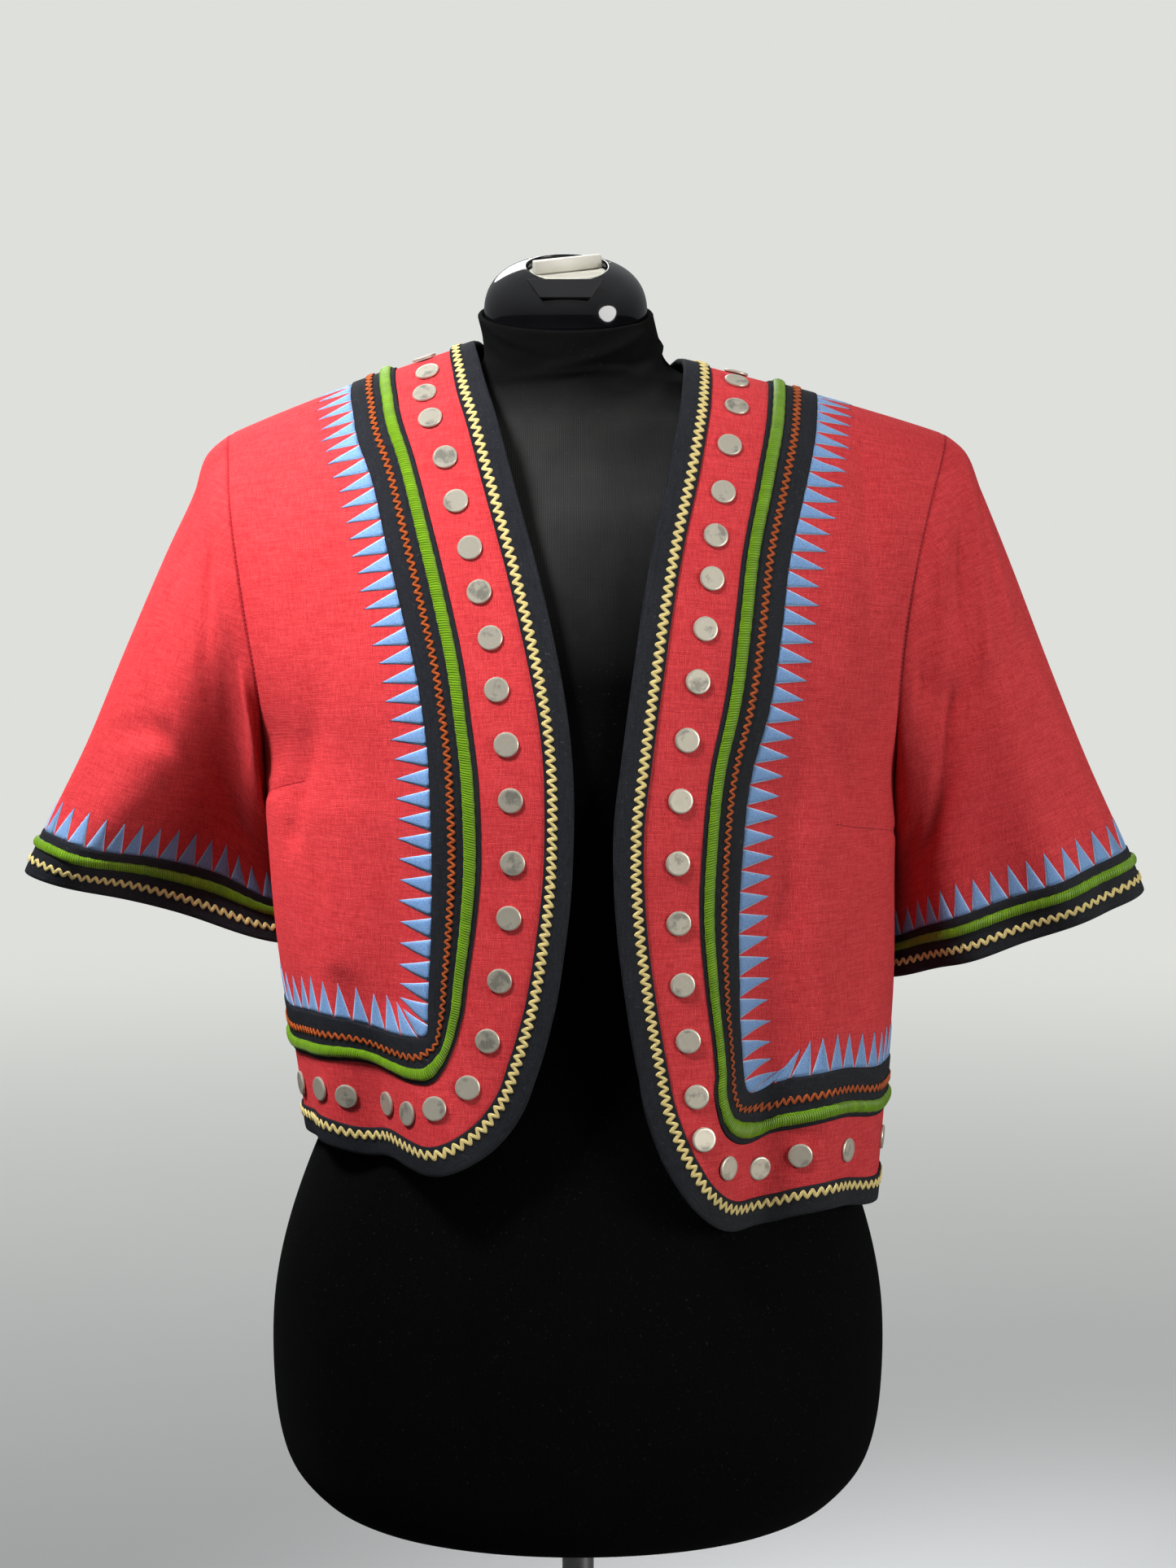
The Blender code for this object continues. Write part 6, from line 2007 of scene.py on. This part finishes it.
plate_place = NECK_FRAME @ on_front @ Matrix.Rotation(plate_tilt, 4, "X")
block_piece("dial_plate", plate_corner, 0.0005, plate_place, matte)

# %% [markdown]
# ## Stand
# The form stands on a steel pole in a round base. Each part is turned: its profile is spun round
# the pole's axis with small rounded edges.

# %% Stand sizes and parts
UNDERSIDE = DATUM + FORM_SECTIONS[0][0]
POLE_RADIUS = 0.0095
COLLAR_RADIUS, COLLAR_FOOT, COLLAR_HIGH = 0.0240, 0.0145, 0.0180
BASE_RADIUS, BASE_HIGH = 0.1500, 0.0120
SOCKET_RADIUS, SOCKET_HIGH = 0.0220, 0.0230
STAND_EDGE = 0.0030


def rounded(profile, edge, steps=4):
    """A profile with each of its inner corners rounded."""
    points = [np.array(point, float) for point in profile]
    made = [points[0]]
    for before, corner, after in zip(points, points[1:], points[2:], strict=False):
        start = corner + unit(before - corner) * edge
        end = corner + unit(after - corner) * edge
        for t in np.linspace(0.0, 1.0, steps + 1):
            made.append(start * (1 - t) ** 2 + corner * 2 * t * (1 - t) + end * t**2)
    return [tuple(point) for point in [*made, points[-1]]]


def turned_piece(name, profile, edge, finish):
    """A part of the stand, from the profile of its outside."""
    low, high = profile[0][1], profile[-1][1]
    bm = bmesh.new()
    spin_profile(bm, rounded(((0.0, low), *profile, (0.0, high)), edge), 96)
    new_piece(name, bm, finish, sharp=40)


socket_foot = BASE_HIGH + SEAM
socket_top = socket_foot + SOCKET_HIGH
pole_low, pole_high = socket_top + SEAM, UNDERSIDE - COLLAR_HIGH - 2 * SEAM
collar_low, collar_high = UNDERSIDE - SEAM - COLLAR_HIGH, UNDERSIDE - SEAM
base_profile = ((BASE_RADIUS, 0.0), (BASE_RADIUS, BASE_HIGH))
turned_piece("stand_base", base_profile, STAND_EDGE, enamel)
socket_profile = (
    (SOCKET_RADIUS, socket_foot),
    (SOCKET_RADIUS, socket_top - 0.006),
    (SOCKET_RADIUS - 0.004, socket_top),
)
turned_piece("pole_socket", socket_profile, 0.0015, enamel)
pole_profile = ((POLE_RADIUS, pole_low), (POLE_RADIUS, pole_high))
turned_piece("pole", pole_profile, 0.0006, steel)
collar_profile = (
    (COLLAR_FOOT, collar_low),
    (COLLAR_RADIUS, collar_low + COLLAR_HIGH / 2),
    (COLLAR_RADIUS, collar_high),
)
turned_piece("pole_collar", collar_profile, 0.0012, matte)
print("stand up to", round(UNDERSIDE, 4))

# %% [markdown]
# ## Room and light
# The floor and the surround are pale. The key is a narrow light high on the left, for the wearer's
# right shoulder and chest. A big soft light on the right fills the rest, and a third one lights the
# back. What the metal mirrors is a grey room, brighter above and with a dull floor, so that the
# upper studs shine and the lower ones stay dark. Far off, the floor fades into the surround.

# %% Floor, lights and surround
FLOOR_RADIUS = 14.0
SURROUND = (0.735, 0.745, 0.715)
bm = bmesh.new()
bmesh.ops.create_circle(bm, cap_ends=True, cap_tris=False, segments=96, radius=FLOOR_RADIUS)
floor_mesh = bpy.data.meshes.new("floor")
bm.to_mesh(floor_mesh)
bm.free()
floor = bpy.data.objects.new("floor", floor_mesh)
bpy.context.scene.collection.objects.link(floor)
pale_floor = nodes = Finish("pale_floor", 0.8, Specular_IOR_Level=0.0, Emission_Color=SURROUND)
spot = nodes.place()
seen = nodes.add("LightPath")["Is Camera Ray"]
pale = nodes.mix(nodes.noise(spot, 3.0, 4.0), (0.54, 0.55, 0.55), (0.58, 0.59, 0.59))
away = nodes.add("VectorMath", {0: spot}, operation="LENGTH")["Value"]
reach = {"Value": away, "From Min": 0.5, "From Max": 4.5}
far = nodes.add("MapRange", reach, interpolation_type="SMOOTHSTEP")[0]
near = nodes.mix(seen, (0.16, 0.16, 0.16), pale)
nodes.give(Base_Color=nodes.mix(far, near, (0, 0, 0)), Emission_Strength=nodes.times(seen, far))
floor_mesh.materials.append(pale_floor.material)


def area_light(name, place, size, power, colour=(1, 1, 1), at=(0.0, 0.0, 0.8), spread=180):
    """A soft round light turned towards a place."""
    data = bpy.data.lights.new(name, "AREA")
    data.shape = "DISK"
    data.size = size
    data.spread = math.radians(spread)
    data.energy = power
    data.color = colour
    made = bpy.data.objects.new(name, data)
    made.location = place
    made.rotation_euler = (Vector(at) - Vector(place)).to_track_quat("-Z", "Y").to_euler()
    bpy.context.scene.collection.objects.link(made)
    return made


key_place, key_target = (-0.80, -0.62, 1.98), (-0.24, -0.05, 0.99)
key = area_light("key", key_place, 0.5, 2.3, (0.955, 0.965, 1.0), key_target, 28)
key.visible_glossy = False
area_light("fill", (1.95, -1.28, 1.00), 1.1, 30.5, (1.0, 0.99, 0.98), (0.0, 0.0, 0.78))
area_light("behind", (-0.6, 2.4, 2.5), 1.6, 30.0)

world = bpy.data.worlds.new("surround")
bpy.context.scene.world = world
world.use_nodes = True
nodes = Nodes(world.node_tree)
way = nodes.parts(nodes.add("TexCoord")["Generated"])
room = nodes.mix(nodes.remap(way[2], -0.35, 0.6), (0.03, 0.032, 0.034), (0.30, 0.305, 0.31))
seen = nodes.add("LightPath")["Is Camera Ray"]
background = world.node_tree.nodes["Background"].inputs
nodes.feed(background["Color"], nodes.mix(seen, room, SURROUND))
nodes.feed(background["Strength"], 1.0)
